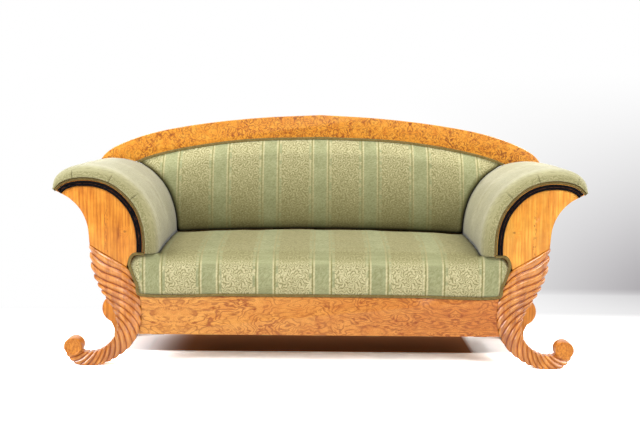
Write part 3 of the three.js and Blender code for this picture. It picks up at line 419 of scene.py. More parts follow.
CREST_BODY = ("#eca63a", "#e2962a", "#ce7c1c", "#7a390c")
RAIL_BODY = ("#eaa850", "#e09a46", "#d4883a", "#965022")
crest_veneer = figured_veneer("burl_veneer_polished", CREST_BODY, 277, 128, eye=82, contour=58, lines=11)
rail_veneer = figured_veneer(
    "root_veneer_polished", RAIL_BODY, 560, -18, eye=170, contour=75,
    swirl=80, knots=0.05, stretch=2.2, lines=17, rings=11, shade_to_right_colour="#f2d8c8",
)
print("veneers", crest_veneer.name, rail_veneer.name)

# %% [markdown]
# ## Straight-grained and carved wood
# The arm boards and legs are solid wood of the same kind. Its grain runs up the board as fine, slightly
# wavy bands, with a column of dark flecks where the heart of the log was near and year rings that bulge
# round a knot. A noise that is stretched along the grain draws this better than straight stripes, which
# look printed.

# %% Flecks and knots
RING_PITCH = 13
FLECK_HALF = 7


def dark_flecks(tree, spot, parts, fleck_at, colour):
    """Short dark fibres in the lower part of a narrow column, that far from the middle."""
    aside = math_of(tree, "ABSOLUTE", parts[0])
    in_column = math_of(tree, "COMPARE", aside, fleck_at * MM, FLECK_HALF * MM)
    fibre = vector_of(tree, "MULTIPLY", spot, (1.0, 1.0, 0.3))
    dark = between(tree, noise_of(tree, fibre, 5, 3.0), 0.54, 0.62, 0.0, 0.7)
    low = math_of(tree, "MULTIPLY", dark, between(tree, parts[2], 0.68, 0.6))
    return mix_of(tree, math_of(tree, "MULTIPLY", in_column, low), colour, linear("#8d4d22"))


def knot_rings(tree, long, parts, knot, vein, colour):
    """Year rings that bulge round a knot, and the knot's own dark heart."""
    aside = math_of(tree, "ABSOLUTE", parts[0])
    there = put(tree, "ShaderNodeCombineXYZ", {0: aside, 1: 0.0, 2: parts[2]})
    from_knot = vector_of(tree, "SUBTRACT", there, [v * MM for v in knot])
    wide = vector_of(tree, "MULTIPLY", from_knot, (1.0, 1.0, 1.5))
    away = vector_of(tree, "LENGTH", wide, out="Value")
    bulge = between(tree, away, 4 * MM, 34 * MM, 34 * MM, 0.0, kind="SMOOTHSTEP")
    sway = math_of(tree, "MULTIPLY_ADD", noise_of(tree, long, 80, 2.0), 45 * MM, aside)
    ring = triangle(tree, math_of(tree, "ADD", sway, bulge), 1 / (RING_PITCH * MM))
    ring_line = between(tree, ring, 0.0, 0.55, 0.42, 0.0, kind="SMOOTHSTEP")
    colour = mix_of(tree, ring_line, colour, linear(vein))
    return mix_of(tree, between(tree, away, 3 * MM, 9 * MM, 0.6, 0.0), colour, linear("#7a4416"))


print("year rings every", RING_PITCH, "mm")

# %% Straight-grained wood
def grained_wood(
    name, body, band=11, stretch=14, run="Z", fleck_at=None, knot=None, surface=POLISH, grooved=False
):
    """Plain wood with its grain along one axis. Sizes in mm."""
    material, tree, shader = new_finish(name, **surface)
    spot, parts = own_place(tree)
    squeeze = [1.0, 1.0, 1.0]
    squeeze["XYZ".index(run)] = 1 / stretch
    long = vector_of(tree, "MULTIPLY", spot, squeeze)
    bands = noise_of(tree, swirled(tree, long, 60, 10), band, 5.0, Roughness=0.62)
    light, middle, deep, vein = body
    ground = ramp(tree, bands, [(0.28, vein), (0.72, light), (0.42, deep), (0.56, middle)])
    tone = ramp(tree, noise_of(tree, long, 70, 2.0), [(0.35, "#d8cfc6"), (0.62, "#ffffff")])
    haze = ramp(tree, noise_of(tree, spot, 45, 3.0), [(0.35, "#dcc9b8"), (0.65, "#fffaf4")])
    colour = mix_of(tree, 0.75, ground, tone, "MULTIPLY")
    colour = mix_of(tree, 0.6, colour, haze, "MULTIPLY")
    if fleck_at is not None:
        colour = dark_flecks(tree, spot, parts, fleck_at, colour)
    if knot is not None:
        colour = knot_rings(tree, long, parts, knot, vein, colour)
    # Dirt and painted shade in the carving: the wood is darkened towards the bottom of each groove.
    if grooved:
        wear_dirt_and_shade = ramp(tree, own_value(tree, "groove"), [(0.5, "#ffffff"), (0.97, "#6f4220"), (0.82, "#d0a077")])
        colour = mix_of(tree, 1.0, colour, wear_dirt_and_shade, "MULTIPLY")
    coloured(tree, shader, colour, bands, 0.05, 0.5)
    return material


BOARD_BODY = ("#fab248", "#f0a23a", "#de8b2d", "#ad601d")
# Painted light: a lighter, yellower copy of the board's colours for the right arm.
RIGHT_BOARD_BODY_PAINTED_LIGHT = ("#ffc658", "#ffbc4c", "#f6a63c", "#c8742a")
CARVED_BODY = ("#f4aa44", "#e49630", "#d07e22", "#a65a12")
BEECH_BODY = ("#d9b686", "#cda673", "#bd9361", "#9f774b")
CARVED_POLISH = {"roughness": 0.36, "coat_weight": 1.0, "coat_roughness": 0.13, "coat_ior": 1.8, "ior": 1.3}
BARE = {"roughness": 0.75, "ior": 1.5}
board_wood = grained_wood("straight_grain_polished", BOARD_BODY, fleck_at=842, knot=(768, 0, 540))
# Painted light: the right arm's board is a lighter copy of the same wood, for the stronger light on that
# side.
right_board_wood_painted_light = grained_wood(
    "straight_grain_polished_light", RIGHT_BOARD_BODY_PAINTED_LIGHT, fleck_at=847, knot=(766, 0, 548)
)
side_wood = grained_wood("side_board_polished", BOARD_BODY, run="Y")
carved_wood = grained_wood(
    "carved_wood_polished", CARVED_BODY, band=16, stretch=6, surface=CARVED_POLISH, grooved=True
)
roll_wood = grained_wood("end_grain_polished", CARVED_BODY, band=7, stretch=1.5)
frame_beech = grained_wood("sawn_beech", BEECH_BODY, band=6, stretch=30, run="X", surface=BARE)
print("woods", sum("wood" in m.name or "polished" in m.name for m in bpy.data.materials))

# %% [markdown]
# ## Ebonised moulding
# The reeded bead on each arm is pear or maple, stained black with iron and logwood and rubbed to a low sheen.
# Such a stain reads as a near-black, slightly cold body, worn to brown here and there, most of all along the
# fillet. One even black would look like plastic, so noise decides where the wear shows.

# %% Ebonised wood
ebony, tree, shader = new_finish("ebonised_pear", roughness=0.42, coat_weight=0.0, ior=1.4)
shader.inputs["Specular IOR Level"].default_value = 0.1
rub = noise_of(tree, own_place(tree)[0], 14, 5.0, Roughness=0.7)
bare = math_of(tree, "MULTIPLY_ADD", own_value(tree, "rubbed"), 0.22, rub)
coloured(tree, shader, ramp(tree, bare, [(0.62, "#07070b"), (0.8, "#5c3a2a")]))
print("ebony", ebony.name)

# %% [markdown]
# ## Damask stripe
# The cover is a two-colour weave: bands of plain sage rep, edged by thin cream lines, and between them
# broad bands where cream weft is floated over the sage to draw scrolling leaves. On a loom the figure
# mirrors about each band's middle and repeats along the cloth. Here its strokes are drawn from noise,
# which never repeats. Floated threads turn light only where the cloth faces the viewer, so on the seat's
# flat top the figure nearly goes; that sheen is painted into the colour. Each cover therefore carries, in
# every vertex, where it lies across and along the cloth and how much painted sheen its floats show, and
# also how much dirt and painted shade darken it. Drawing the stripe from those numbers lets it bend with
# the stuffing, which a flat projection can't do.

# %% Stripes, leaves and threads
STRIPE_HALF = 112
PLAIN_HALF = 28
CREAM_LINE = 34.5
DARK_GAP = 40
CREAM_BAR = 51
SLUB_ANGLE = math.radians(35)
CLOTH = {"roughness": 0.9, "sheen_weight": 0.06, "sheen_roughness": 0.5, "ior": 1.3}


def within(tree, value, low, high, soft=1.2):
    """1 where a value lies between two limits in mm, with soft edges."""
    rise = between(tree, value, (low - soft) * MM, (low + soft) * MM)
    fall = between(tree, value, (high + soft) * MM, (high - soft) * MM)
    return math_of(tree, "MULTIPLY", rise, fall)


def leaf_strokes(tree, across, run, painted_sheen):
    """Whorls of curved strokes, as scrolling leaves are drawn by floats of weft. They are fuller where the
    painted sheen is stronger.
    """
    bent = swirled(tree, put(tree, "ShaderNodeCombineXYZ", {0: across, 1: run}), 26, 15)
    arm = vector_of(tree, "SUBTRACT", bent, cells_of(tree, bent, 30, out="Position"))
    sides = put(tree, "ShaderNodeSeparateXYZ", {0: arm}).node.outputs
    angle = math_of(tree, "ARCTAN2", sides[1], sides[0])
    reach = vector_of(tree, "LENGTH", arm, out="Value")
    curl = math_of(tree, "MULTIPLY_ADD", reach, 360.0, math_of(tree, "MULTIPLY", angle, 6.0))
    ragged = noise_of(tree, bent, 5, 2.0)
    rough = math_of(tree, "MULTIPLY_ADD", ragged, 3.4, math_of(tree, "SINE", curl))
    fuller = between(tree, painted_sheen, 0.45, 1.0, 0.0, 0.75)
    return between(tree, math_of(tree, "ADD", rough, fuller), 1.75, 2.45, kind="SMOOTHSTEP")


def threads(tree, across, run, pitch):
    """The grid of warp and weft, fine enough to read as cloth."""
    warp = triangle(tree, across, 1 / (pitch * MM))
    weft = triangle(tree, run, 1 / (pitch * MM))
    return math_of(tree, "MULTIPLY", warp, weft)


def broken_bar(tree, weave, away):
    """The cream bar beside the figured field, wavy at its edges and missing in places."""
    shift = math_of(tree, "MULTIPLY_ADD", noise_of(tree, weave, 9, 2.0), 12 * MM, -6 * MM)
    wavy = math_of(tree, "ADD", away, shift)
    shown = between(tree, noise_of(tree, weave, 38, 1.0), 0.42, 0.54)
    return math_of(tree, "MULTIPLY", within(tree, wavy, DARK_GAP + 1, CREAM_BAR - 1), shown)


def slubs(tree, weave):
    """Slanting flecks where the yarn runs thick and thin."""
    turned = put(
        tree, "ShaderNodeVectorRotate", {"Vector": weave, "Angle": SLUB_ANGLE}, rotation_type="Z_AXIS"
    )
    long = vector_of(tree, "MULTIPLY", turned, (1.0, 0.3, 1.0))
    return ramp(tree, noise_of(tree, long, 7, 3.0, Roughness=0.65), [(0.36, "#cfcdbd"), (0.64, "#ffffff")])


print("stripes repeat every", 2 * STRIPE_HALF, "mm")

# %% Damask
def damask(name, surface=CLOTH, sages=("#a7ab82", "#b1b58c")):
    """The striped cover, drawn from its vertices' place on the cloth."""
    material, tree, shader = new_finish(name, **surface)
    weave = own_value(tree, "weave", out="Vector")
    across, run, painted_sheen = put(tree, "ShaderNodeSeparateXYZ", {0: weave}).node.outputs
    away = math_of(tree, "PINGPONG", across, STRIPE_HALF * MM)
    band = math_of(tree, "WRAP", across, 2 * STRIPE_HALF * MM, 0.0)
    field = within(tree, away, CREAM_BAR, 2 * STRIPE_HALF)
    figure = math_of(tree, "MULTIPLY", leaf_strokes(tree, band, run, painted_sheen), field)
    line = within(tree, away, PLAIN_HALF, CREAM_LINE)
    light = math_of(tree, "MAXIMUM", figure, broken_bar(tree, weave, away))
    drawn = math_of(tree, "MAXIMUM", light, line)
    gap = within(tree, away, CREAM_LINE, DARK_GAP)
    # Painted sheen: the dark gap beside the cream line shows only where the floats catch the light.
    gap_seen = math_of(tree, "MULTIPLY", gap, between(tree, painted_sheen, 0.2, 0.8, 0.15, 0.9))

    sage = ramp(tree, noise_of(tree, weave, 90, 3.0), [(0.35, sages[0]), (0.65, sages[1])])
    darker = mix_of(tree, gap_seen, sage, linear("#98935f"))
    banded = mix_of(tree, field, darker, linear("#a4a074"))
    # Painted sheen: floats are lighter where they catch the light, and dull where they don't.
    float_colour = ramp(tree, painted_sheen, [(0.0, "#aaa678"), (1.0, "#ddd7ae"), (0.45, "#bab58a")])
    cloth = mix_of(tree, drawn, banded, float_colour)
    grid = threads(tree, across, run, 2.2)
    thread = ramp(tree, grid, [(0.1, "#e4e1da"), (0.8, "#ffffff")])
    # Dirt and painted shade darken the cover: in crevices, low on the back and on the seat's top.
    soil = own_value(tree, "soil")
    dirt_and_shade_colour = ramp(tree, soil, [(0.0, "#ffffff"), (1.0, "#1d1a10"), (0.5, "#a8a48c")])
    for share, layer in ((1.0, thread), (0.75, slubs(tree, weave)), (1.0, dirt_and_shade_colour)):
        cloth = mix_of(tree, share, cloth, layer, "MULTIPLY")
    height = math_of(tree, "MULTIPLY_ADD", drawn, 0.7, grid)
    coloured(tree, shader, cloth, height, 0.25, 0.35)
    return material


ARM_CLOTH = {**CLOTH, "sheen_weight": 0.35}
cover_cloth = damask("damask_stripe_cotton")
arm_cover = damask("damask_stripe_cotton_brushed", ARM_CLOTH, ("#aba77c", "#b6b288"))
print("covers", cover_cloth.name, arm_cover.name)

# %% Plain weaves and spring wire
def plain_weave(name, dark, pale, pitch):
    """Hessian, webbing, yarn and plain cloth. The pitch of the threads is in mm."""
    material, tree, shader = new_finish(name, **CLOTH)
    spot, parts = own_place(tree)
    grid = threads(tree, parts[0], math_of(tree, "ADD", parts[1], parts[2]), pitch)
    ground = ramp(tree, noise_of(tree, spot, 5 * pitch, 4.0), [(0.3, dark), (0.7, pale)])
    thread = ramp(tree, grid, [(0.0, "#b9b0a4"), (0.7, "#ffffff")])
    coloured(tree, shader, mix_of(tree, 1.0, ground, thread, "MULTIPLY"), grid, 0.4, 0.4)
    return material


lining_cloth = plain_weave("plain_woven_cotton", "#a3a67c", "#b0b189", 1.6)
hessian = plain_weave("jute_hessian", "#a98d62", "#c2a677", 3.2)
jute_web = plain_weave("jute_webbing", "#9c8158", "#b79a6c", 2.4)
cord_yarn = plain_weave("twisted_braid_yarn", "#857a42", "#a3965a", 1.6)
tape_cloth = plain_weave("braid_tape", "#8a6a44", "#a5835a", 1.6)
spring_wire, tree, shader = new_finish("copper_washed_steel", roughness=0.38, metallic=1.0)
dull = noise_of(tree, own_place(tree)[0], 12, 4.0)
coloured(tree, shader, ramp(tree, dull, [(0.4, "#77706a"), (0.62, "#a58f7c")]))
print("finishes", len(bpy.data.materials))

# %% [markdown]
# ## Curves and lofts
# Every moulding, cord and carved leg of the sofa is a section that travels along a curve, and each curve was
# set out by a few measured points. The frame was drawn with centripetal curves through such points, and the
# same curve here makes the new pieces land on the same lines, only in finer steps. Bezier handles would need
# less code, but between the points they would leave the frame's lines.

# %% Curves
DEPTH_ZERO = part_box("foot_roll_right")[0].y + 6 * MM


def smooth_curve(points):
    """A centripetal curve through points, as a function of a share from 0 to 1."""
    points = np.asarray(points, float)
    ends = np.vstack([2 * points[0] - points[1], points, 2 * points[-1] - points[-2]])
    knots = np.linalg.norm(np.diff(ends, axis=0), axis=1) ** 0.5

    def at(t):
        place = np.clip(np.asarray(t, float), 0, 1) * (len(points) - 1)
        i = np.minimum(place.astype(int), len(points) - 2)
        w = (place - i)[..., None]
        a, b, c, d = (ends[i + k] for k in range(4))
        k0, k1, k2 = (knots[i + k][..., None] for k in range(3))
        out = ((b - a) / k0 - (c - a) / (k0 + k1) + (c - b) / k1) * k1
        into = ((c - b) / k1 - (d - b) / (k1 + k2) + (d - c) / k2) * k1
        return b + out * w + (3 * (c - b) - 2 * out - into) * w**2 + (2 * (b - c) + out + into) * w**3

    return at


def slope(curve, t, step=1e-4):
    """The curve's direction, of length one in its first two coordinates."""
    run = curve(np.minimum(t + step, 1)) - curve(np.maximum(t - step, 0))
    return run / np.linalg.norm(run[..., :2], axis=-1, keepdims=True)


def beside(curve, t, out):
    """Places at distances outside a flat curve, on its left as it runs."""
    way = slope(curve, t)
    return curve(t) + np.stack([-way[..., 1], way[..., 0]], axis=-1) * np.asarray(out)[..., None]


def at_depth(flat, depth):
    """Flat places in mm and their depth behind the legs' front plane, as places in metres."""
    x, z = flat[..., 0], flat[..., 1]
    return np.stack([x * MM, DEPTH_ZERO + np.broadcast_to(depth, x.shape) * MM, z * MM], axis=-1)


print("the legs' front plane lies at", round(DEPTH_ZERO / MM), "mm")

# %% Pieces from places
def side_faces(grid, closed=False):
    """Quads between the rows of a grid of vertex numbers. A closed one joins its last column to its first."""
    near, far = (grid, np.roll(grid, -1, axis=1)) if closed else (grid[:, :-1], grid[:, 1:])
    return np.stack([near[:-1], far[:-1], far[1:], near[1:]], axis=-1).reshape(-1, 4).tolist()


def vertex_grid(rows, columns):
    """The numbers of the vertices of a grid, row by row."""
    return np.arange(rows * columns).reshape(rows, columns)


def set_layer(piece, name, values):
    """Lets each vertex carry a value for its material."""
    layer = piece.data.attributes.new(name, "FLOAT", "POINT")
    layer.data.foreach_set("value", np.asarray(values).astype(np.float32))


def new_piece(name, vertices, faces, material):
    """An object of its own from places and faces, with its faces turned outward."""
    mesh = bpy.data.meshes.new(name)
    mesh.from_pydata(np.asarray(vertices).tolist(), [], faces)
    shape = bmesh.new()
    shape.from_mesh(mesh)
    bmesh.ops.recalc_face_normals(shape, faces=shape.faces)
    shape.to_mesh(mesh)
    shape.free()
    mesh.polygons.foreach_set("use_smooth", [True] * len(mesh.polygons))
    mesh.materials.append(material)
    piece = bpy.data.objects.new(name, mesh)
    scene.collection.objects.link(piece)
    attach(piece, "root")
    return piece


def loft(name, rings, material):
    """A closed body through rings of as many places each, with a fan over each end."""
    rows, count = rings.shape[:2]
    turn = [(i, (i + 1) % count) for i in range(count)]
    first, last, end = rows * count, rows * count + 1, (rows - 1) * count
    faces = side_faces(vertex_grid(rows, count), closed=True)
    faces += [(j, i, first) for i, j in turn] + [(end + i, end + j, last) for i, j in turn]
    vertices = np.vstack([rings.reshape(-1, 3), rings[0].mean(axis=0), rings[-1].mean(axis=0)])
    return new_piece(name, vertices, faces, material)


def for_both_sides(make, name, *nodes):
    """Makes a piece for the right and mirrors it for the left. Each stands for the nodes of its side."""
    right = make(name + "_right")
    left = right.copy()
    left.data = right.data.copy()
    left.name = left.data.name = name + "_left"
    scene.collection.objects.link(left)
    left.data.transform(Matrix.Scale(-1, 4, (1, 0, 0)))
    left.data.flip_normals()
    for side, piece in (("_right", right), ("_left", left)):
        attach(piece, "root")
        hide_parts(*[node + side for node in nodes])
    return right, left


print("a grid of 3 by 4 vertices has", len(side_faces(vertex_grid(3, 4))), "faces")

# %% [markdown]
# ## Rope-carved legs
# Each front leg is one thick plank, sawn to a horn that sweeps down, under and out into a curl. Its face
# is carved as a rope: rounded strands that run slantwise round it, parted by V grooves, closer at the
# foot. A bump map would leave the edge smooth, while here every strand breaks the outline, so the strands
# are real shape. Each ring of the leg follows one line of the rope, so the strands come out clean at any
# slant.

# %% The rope's lines
LEG_RISE = 490
LEG_ROOT = 723
LEG_SPAN = 293
LEG_TOP_WIDTH = 156
LEG_THICK = 58
LEG_CROWN = 14
LEG_BELT = 4
RIDGE_DEPTH = 11
RIDGE_SPACING = 42
HORN_SHARES = [
    (0.382, 1.005, 1), (0.369, 0.815, 0.93), (0.266, 0.654, 0.87), (0.181, 0.556, 0.795),
    (0.133, 0.464, 0.718), (0.119, 0.365, 0.64), (0.145, 0.279, 0.565), (0.203, 0.209, 0.5),
    (0.294, 0.147, 0.44), (0.416, 0.094, 0.385), (0.546, 0.06, 0.365), (0.666, 0.049, 0.37),
    (0.776, 0.057, 0.37), (0.857, 0.082, 0.32), (0.933, 0.122, 0.22),
]
SLANT_SHARES = [
    (0, 1.2), (0.08, 1.65), (0.16, 2.5), (0.25, 1.95), (0.35, 1.75),
    (0.5, 1.2), (0.7, 1.3), (0.85, 1.1), (1, 0.5),
]
SPACING_SHARES = [(0, 1), (0.4, 0.84), (0.7, 0.57), (1, 0.57)]
WINDING_SHARES = [(0, 0.1), (0.35, 0), (1, 0)]
STRAND_STEPS = 14
STRAND_LEAN, STRAND_ROUND = 0.72, 0.85
EDGE_FROM, EDGE_CUT = 0.7, 0.55
FACE_STEPS = 28

spine = smooth_curve([(LEG_ROOT + x * LEG_SPAN, z * LEG_RISE, w * LEG_TOP_WIDTH) for x, z, w in HORN_SHARES])
spine_shares = np.linspace(0, 1, 961)
spine_places = spine(spine_shares)[:, :2]
spacing = RIDGE_SPACING * np.interp(spine_shares[1:], *zip(*SPACING_SHARES))
ridge_counts = np.append(0, np.cumsum(np.linalg.norm(np.diff(spine_places, axis=0), axis=1) / spacing))
slants = np.interp(spine_shares, *zip(*SLANT_SHARES))
windings = np.interp(spine_shares, *zip(*WINDING_SHARES))


def spine_at(phases, v):
    """Where along the spine the rope's lines pass a place across the horn."""
    bent = v - windings * math.sin(math.pi * v)
    return np.interp(phases, ridge_counts - slants * bent, spine_shares)


print("lines of rope on a leg", round(ridge_counts[-1]))

# %% Front legs
def carved_leg(name):
    """A horn whose face is a rope, from rings that each follow one line of it."""
    first, last = slants[0], ridge_counts[-1] - slants[-1]
    phases = np.linspace(first, last, math.ceil((last - first) * STRAND_STEPS) + 1)
    within_strand = (phases - first) % 1
    rise = np.sin(np.pi * within_strand**STRAND_LEAN) ** STRAND_ROUND
    across = np.sin(np.linspace(-0.5, 0.5, FACE_STEPS + 1) * np.pi)

    def column(v, depth=None):
        t = spine_at(phases, v)
        middle = spine(t)
        way = slope(spine, t)
        size = middle[:, 2] / LEG_TOP_WIDTH
        cut = RIDGE_DEPTH * np.sqrt(size) * (1 - rise)
        edge = np.clip((abs(v) - EDGE_FROM) / (1 - EDGE_FROM), 0, 1) ** 2
        reach = -v * middle[:, 2] / 2 + np.sign(v) * edge * cut * EDGE_CUT
        flat = middle[:, :2] + np.stack([-way[:, 1], way[:, 0]], axis=-1) * reach[:, None]
        flat[:, 1] = np.maximum(flat[:, 1], 0)
        face = LEG_CROWN * size * (0.45 * v**2 + 0.55 * v**6) + cut
        return at_depth(flat, face if depth is None else depth)

    side_depths = np.linspace(LEG_CROWN + RIDGE_DEPTH + LEG_BELT, LEG_THICK, 4)
    columns = [column(v) for v in across]
    columns += [column(1, depth) for depth in side_depths]
    columns += [column(v, LEG_THICK) for v in across[-3:1:-2]]
    columns += [column(-1, depth) for depth in side_depths[::-1]]
    piece = loft(name, np.stack(columns, axis=1), carved_wood)
    # How deep in a groove each vertex lies, for the dirt and painted shade that the wood puts there.
    set_layer(piece, "groove", np.append(np.repeat(1 - rise, len(columns)), [0, 0]))
    return piece


legs = for_both_sides(carved_leg, "carved_leg", "front_leg")
print("carved legs", len(legs[0].data.polygons), "faces each")

# %% [markdown]
# ## Lines of the arms, the crest and the leaning back
# Arms and back were set out on the bench from a few measured points, and everything there lies along
# those lines: stuffing, braid and moulding run parallel to the arm's curve, and the back's stuffing ends
# at the crest's foot. Keeping each line as a function means that a piece can be drawn as finely as it
# needs.

# %% Lines of arms and back
ARM_ROOT, ARM_FOOT, ARM_SPAN, ARM_RISE = 691, 452, 355, 299
ARM_SHARES = [
    (0, 0), (0, 0.194), (0.028, 0.411), (0.101, 0.622), (0.265, 0.843),
    (0.434, 0.957), (0.628, 1), (0.814, 0.98), (0.927, 0.923), (1, 0.839),
]
CREST_REACH, RAIL_TOP, CREST_RISE = 1015, 283, 715
CREST_FOOT_SHARES = [
    (0, 0.86), (0.299, 0.846), (0.495, 0.814), (0.692, 0.761),
    (0.806, 0.71), (0.867, 0.663), (0.901, 0.604),
]
LEAN = 0.085
ARM_DEPTH = 600
ARM_STEPS = np.linspace(0, 1, 1201)

arm_line = smooth_curve([(ARM_ROOT + x * ARM_SPAN, ARM_FOOT + z * ARM_RISE) for x, z in ARM_SHARES])
crest_points = [(x * CREST_REACH, RAIL_TOP + z * CREST_RISE) for x, z in CREST_FOOT_SHARES]
crest_foot_line = smooth_curve(crest_points)(np.linspace(0, 1, 17))


def crest_foot(x):
    """Height of the crest's lower edge at a distance from the middle, in mm."""
    return np.interp(np.abs(x), *crest_foot_line.T)


def leaning(depth, height):
    """Depths in mm of what stands on the raked back and the rear ends of the arms."""
    return np.where(depth > ARM_DEPTH / 2, depth + LEAN * (height - RAIL_TOP), depth)


def run_along(places):
    """Distance run along a row of places, from the first one."""
    return np.append(0, np.cumsum(np.linalg.norm(np.diff(places, axis=0), axis=1)))


def even_shares(curve, step, extra, fine=1.2, span=12):
    """Shares of a curve at even steps in mm, with finer ones round a few shares of special interest."""
    run = run_along(curve(ARM_STEPS))
    even = np.linspace(0, run[-1], round(run[-1] / step) + 1)
    dense = [np.interp(t, ARM_STEPS, run) + np.arange(-span, span + 0.1, fine) for t in extra]
    places = np.unique(np.round(np.concatenate([even, *dense]), 2))
    return np.interp(places[(places >= 0) & (places <= run[-1])], run, ARM_STEPS)


def arm_run(shares):
    """Distance in mm along the arm's curve at shares of it."""
    return np.interp(shares, ARM_STEPS, run_along(arm_line(ARM_STEPS)))


arm_length = arm_run(1)
print("arm curve", round(arm_length), "mm")

# %% [markdown]
# ## Stuffing
# Seat, back and arms are horsehair under a taut cover. Hair pushes the cover out between the lines where
# it is tacked, so no face of a pad is flat, and the front edge of each arm rolls over to the braid. A
# subdivided block would only get rounder. So the arms and the back are drawn as rows of sections along
# their own lines, the seat is cut into an even fine mesh from its solid, and all of them are then blown
# up as cloth for a moment with their hidden sides held still. That gives the slight swell and the pull
# towards the tacks.

# %% Moving vertices
def baked(piece):
    """Takes a piece's modifiers into its mesh."""
    bpy.context.view_layer.update()
    seen_by = bpy.context.evaluated_depsgraph_get()
    mesh = bpy.data.meshes.new_from_object(piece.evaluated_get(seen_by))
    piece.modifiers.clear()
    old, piece.data = piece.data, mesh
    bpy.data.meshes.remove(old)


def places_of(piece, what="co"):
    """The places of a mesh's vertices, or their normals."""
    flat = np.empty(3 * len(piece.data.vertices))
    piece.data.vertices.foreach_get(what, flat)
    return flat.reshape(-1, 3)


def move_to(piece, places):
    """Puts every vertex at its new place."""
    piece.data.vertices.foreach_set("co", np.asarray(places).ravel())
    piece.data.update()


def raise_by(piece, heights):
    """Moves every vertex along its normal, by heights in mm."""
    move_to(piece, places_of(piece) + places_of(piece, "normal") * (heights * MM)[:, None])


print("the frame's seat pad has", len(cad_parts["seat_pad"].data.vertices), "vertices")

# %% Swelling and what a cover carries
PRESSURE = 4.0
SWELL_FRAMES = 8
SWELL_QUALITY = 3
HELD_BELOW = 0.05


def swell(piece, free, cap):
    """Blows a pad up as cloth. Free says how freely each vertex moves, 0 to 1, and cap how far, in mm."""
    before = places_of(piece)
    held = piece.vertex_groups.new(name="held")
    for index in np.flatnonzero(free < HELD_BELOW).tolist():
        held.add([index], 1.0, "REPLACE")
    cloth = piece.modifiers.new("swell", "CLOTH")
    cloth.settings.quality = SWELL_QUALITY
    cloth.settings.use_pressure = True
    cloth.settings.uniform_pressure_force = PRESSURE
    cloth.settings.effector_weights.gravity = 0
    cloth.settings.vertex_group_mass = "held"
    for number in range(1, SWELL_FRAMES + 1):
        scene.frame_set(number)
    baked(piece)
    scene.frame_set(1)
    moved = places_of(piece) - before
    far = np.linalg.norm(moved, axis=1)
    limit = cap * MM * free
    moved *= np.minimum(1, limit / np.maximum(far, 1e-9))[:, None]
    move_to(piece, before + moved)
    print(piece.name, "swelled by up to", round(np.linalg.norm(moved, axis=1).max() / MM, 1), "mm")


def set_weave(piece, across, run, painted_sheen, soil):
    """Where each vertex lies on the cloth in metres, how much painted sheen its floats show, and how much
    dirt and painted shade darken it.
    """
    layer = piece.data.attributes.new("weave", "FLOAT_VECTOR", "POINT")
    layer.data.foreach_set("vector", np.stack([across, run, painted_sheen], axis=-1).ravel().astype(np.float32))
    set_layer(piece, "soil", np.clip(soil, 0, 1))


def hair_hollows(piece, depth):
    """Shallow unevenness of hair under a cover, in mm, from a few slow waves."""
    x, y, z = (places_of(piece) / MM).T
    return depth * (
        np.sin(x / 47 + np.sin(z / 61)) * np.sin(y / 53 + 1.3)
        + 0.7 * np.sin(x / 23 + y / 31 + 2.1) * np.sin(z / 29 + np.sin(x / 71))
    )


def pad_piece(piece, node):
    """Hangs a pad on the root body and hides the frame's node that it stands for."""
    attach(piece, "root")
    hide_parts(node)


print("stuffing swells for", SWELL_FRAMES, "frames at pressure", PRESSURE)

# %% [markdown]
# ## Arms' stuffing
# An arm's pad lies on the board's curve like a saddle: thick along the arm, thin at its tip, rolled over
# the front edge and drawn there into three pleats, where a flat cover has to go round the curve. It could
# be sculpted, but a section in millimetres keeps its thickness exact. The rows of vertices stand closer
# at each pleat, so its valley stays sharp. Dirt and painted shade darken the cover where the arm meets
# the seat, towards the back of its lower part and in the pleats' valleys.

# %% The seat's top
SEAT_FRONT_HEIGHT, SEAT_BACK_HEIGHT = 436, 490
SEAT_SIDE_DROP = 16
SEAT_REACH = 643
SEAT_ROLL = 30
SEAT_REAR = 590
SEAT_CROWN_BEND = 0.6


def seat_top(x, depth):
    """Height in mm of the seat's crowned top."""
    back = np.clip((depth - SEAT_ROLL) / (SEAT_REAR - SEAT_ROLL), 0, 1)
    rise = (SEAT_BACK_HEIGHT - SEAT_FRONT_HEIGHT) * np.sin(back**SEAT_CROWN_BEND * math.pi / 2)
    aside = (np.minimum(x, SEAT_REACH) / SEAT_REACH) ** 2
    return SEAT_FRONT_HEIGHT + rise - SEAT_SIDE_DROP * np.clip(depth / SEAT_REAR, 0, 1) * aside


print("the seat's crown stands", round(float(seat_top(0, SEAT_REAR))), "mm above the floor")

# %% Arms' stuffing
PAD_BASE = 2.1
PAD_THICK = 45
FRONT_ROLL = 62
REAR_ROLL = 26
THIN_FROM, THIN_BEND, THIN_LEFT = 0.78, 1.5, 0.05
ARM_PLEATS = {"_right": (0.40, 0.583, 0.842), "_left": (0.376, 0.529, 0.759)}
PLEAT_DEEP, PLEAT_LIP = 2.4, 0.8
PLEAT_REACH, PLEAT_FADE = 42, 14
BORDER = 27
ARM_STRIPE_START = 78
# Dirt and painted shade on an arm's cover: by height over the seat, and towards the back on the arm's lower
# part.
DIRT_AND_SHADE_OVER_SEAT = ([0, 3, 9, 60, 160], [1.0, 0.75, 0.22, 0.12, 0.0])
DIRT_AND_SHADE_LOW_ON_ARM = 420
DIRT_AND_SHADE_ALONG_ARM = {"_right": [0, 0.04, 0.3, 0.8], "_left": [0, 0.26, 0.3, 0.8]}


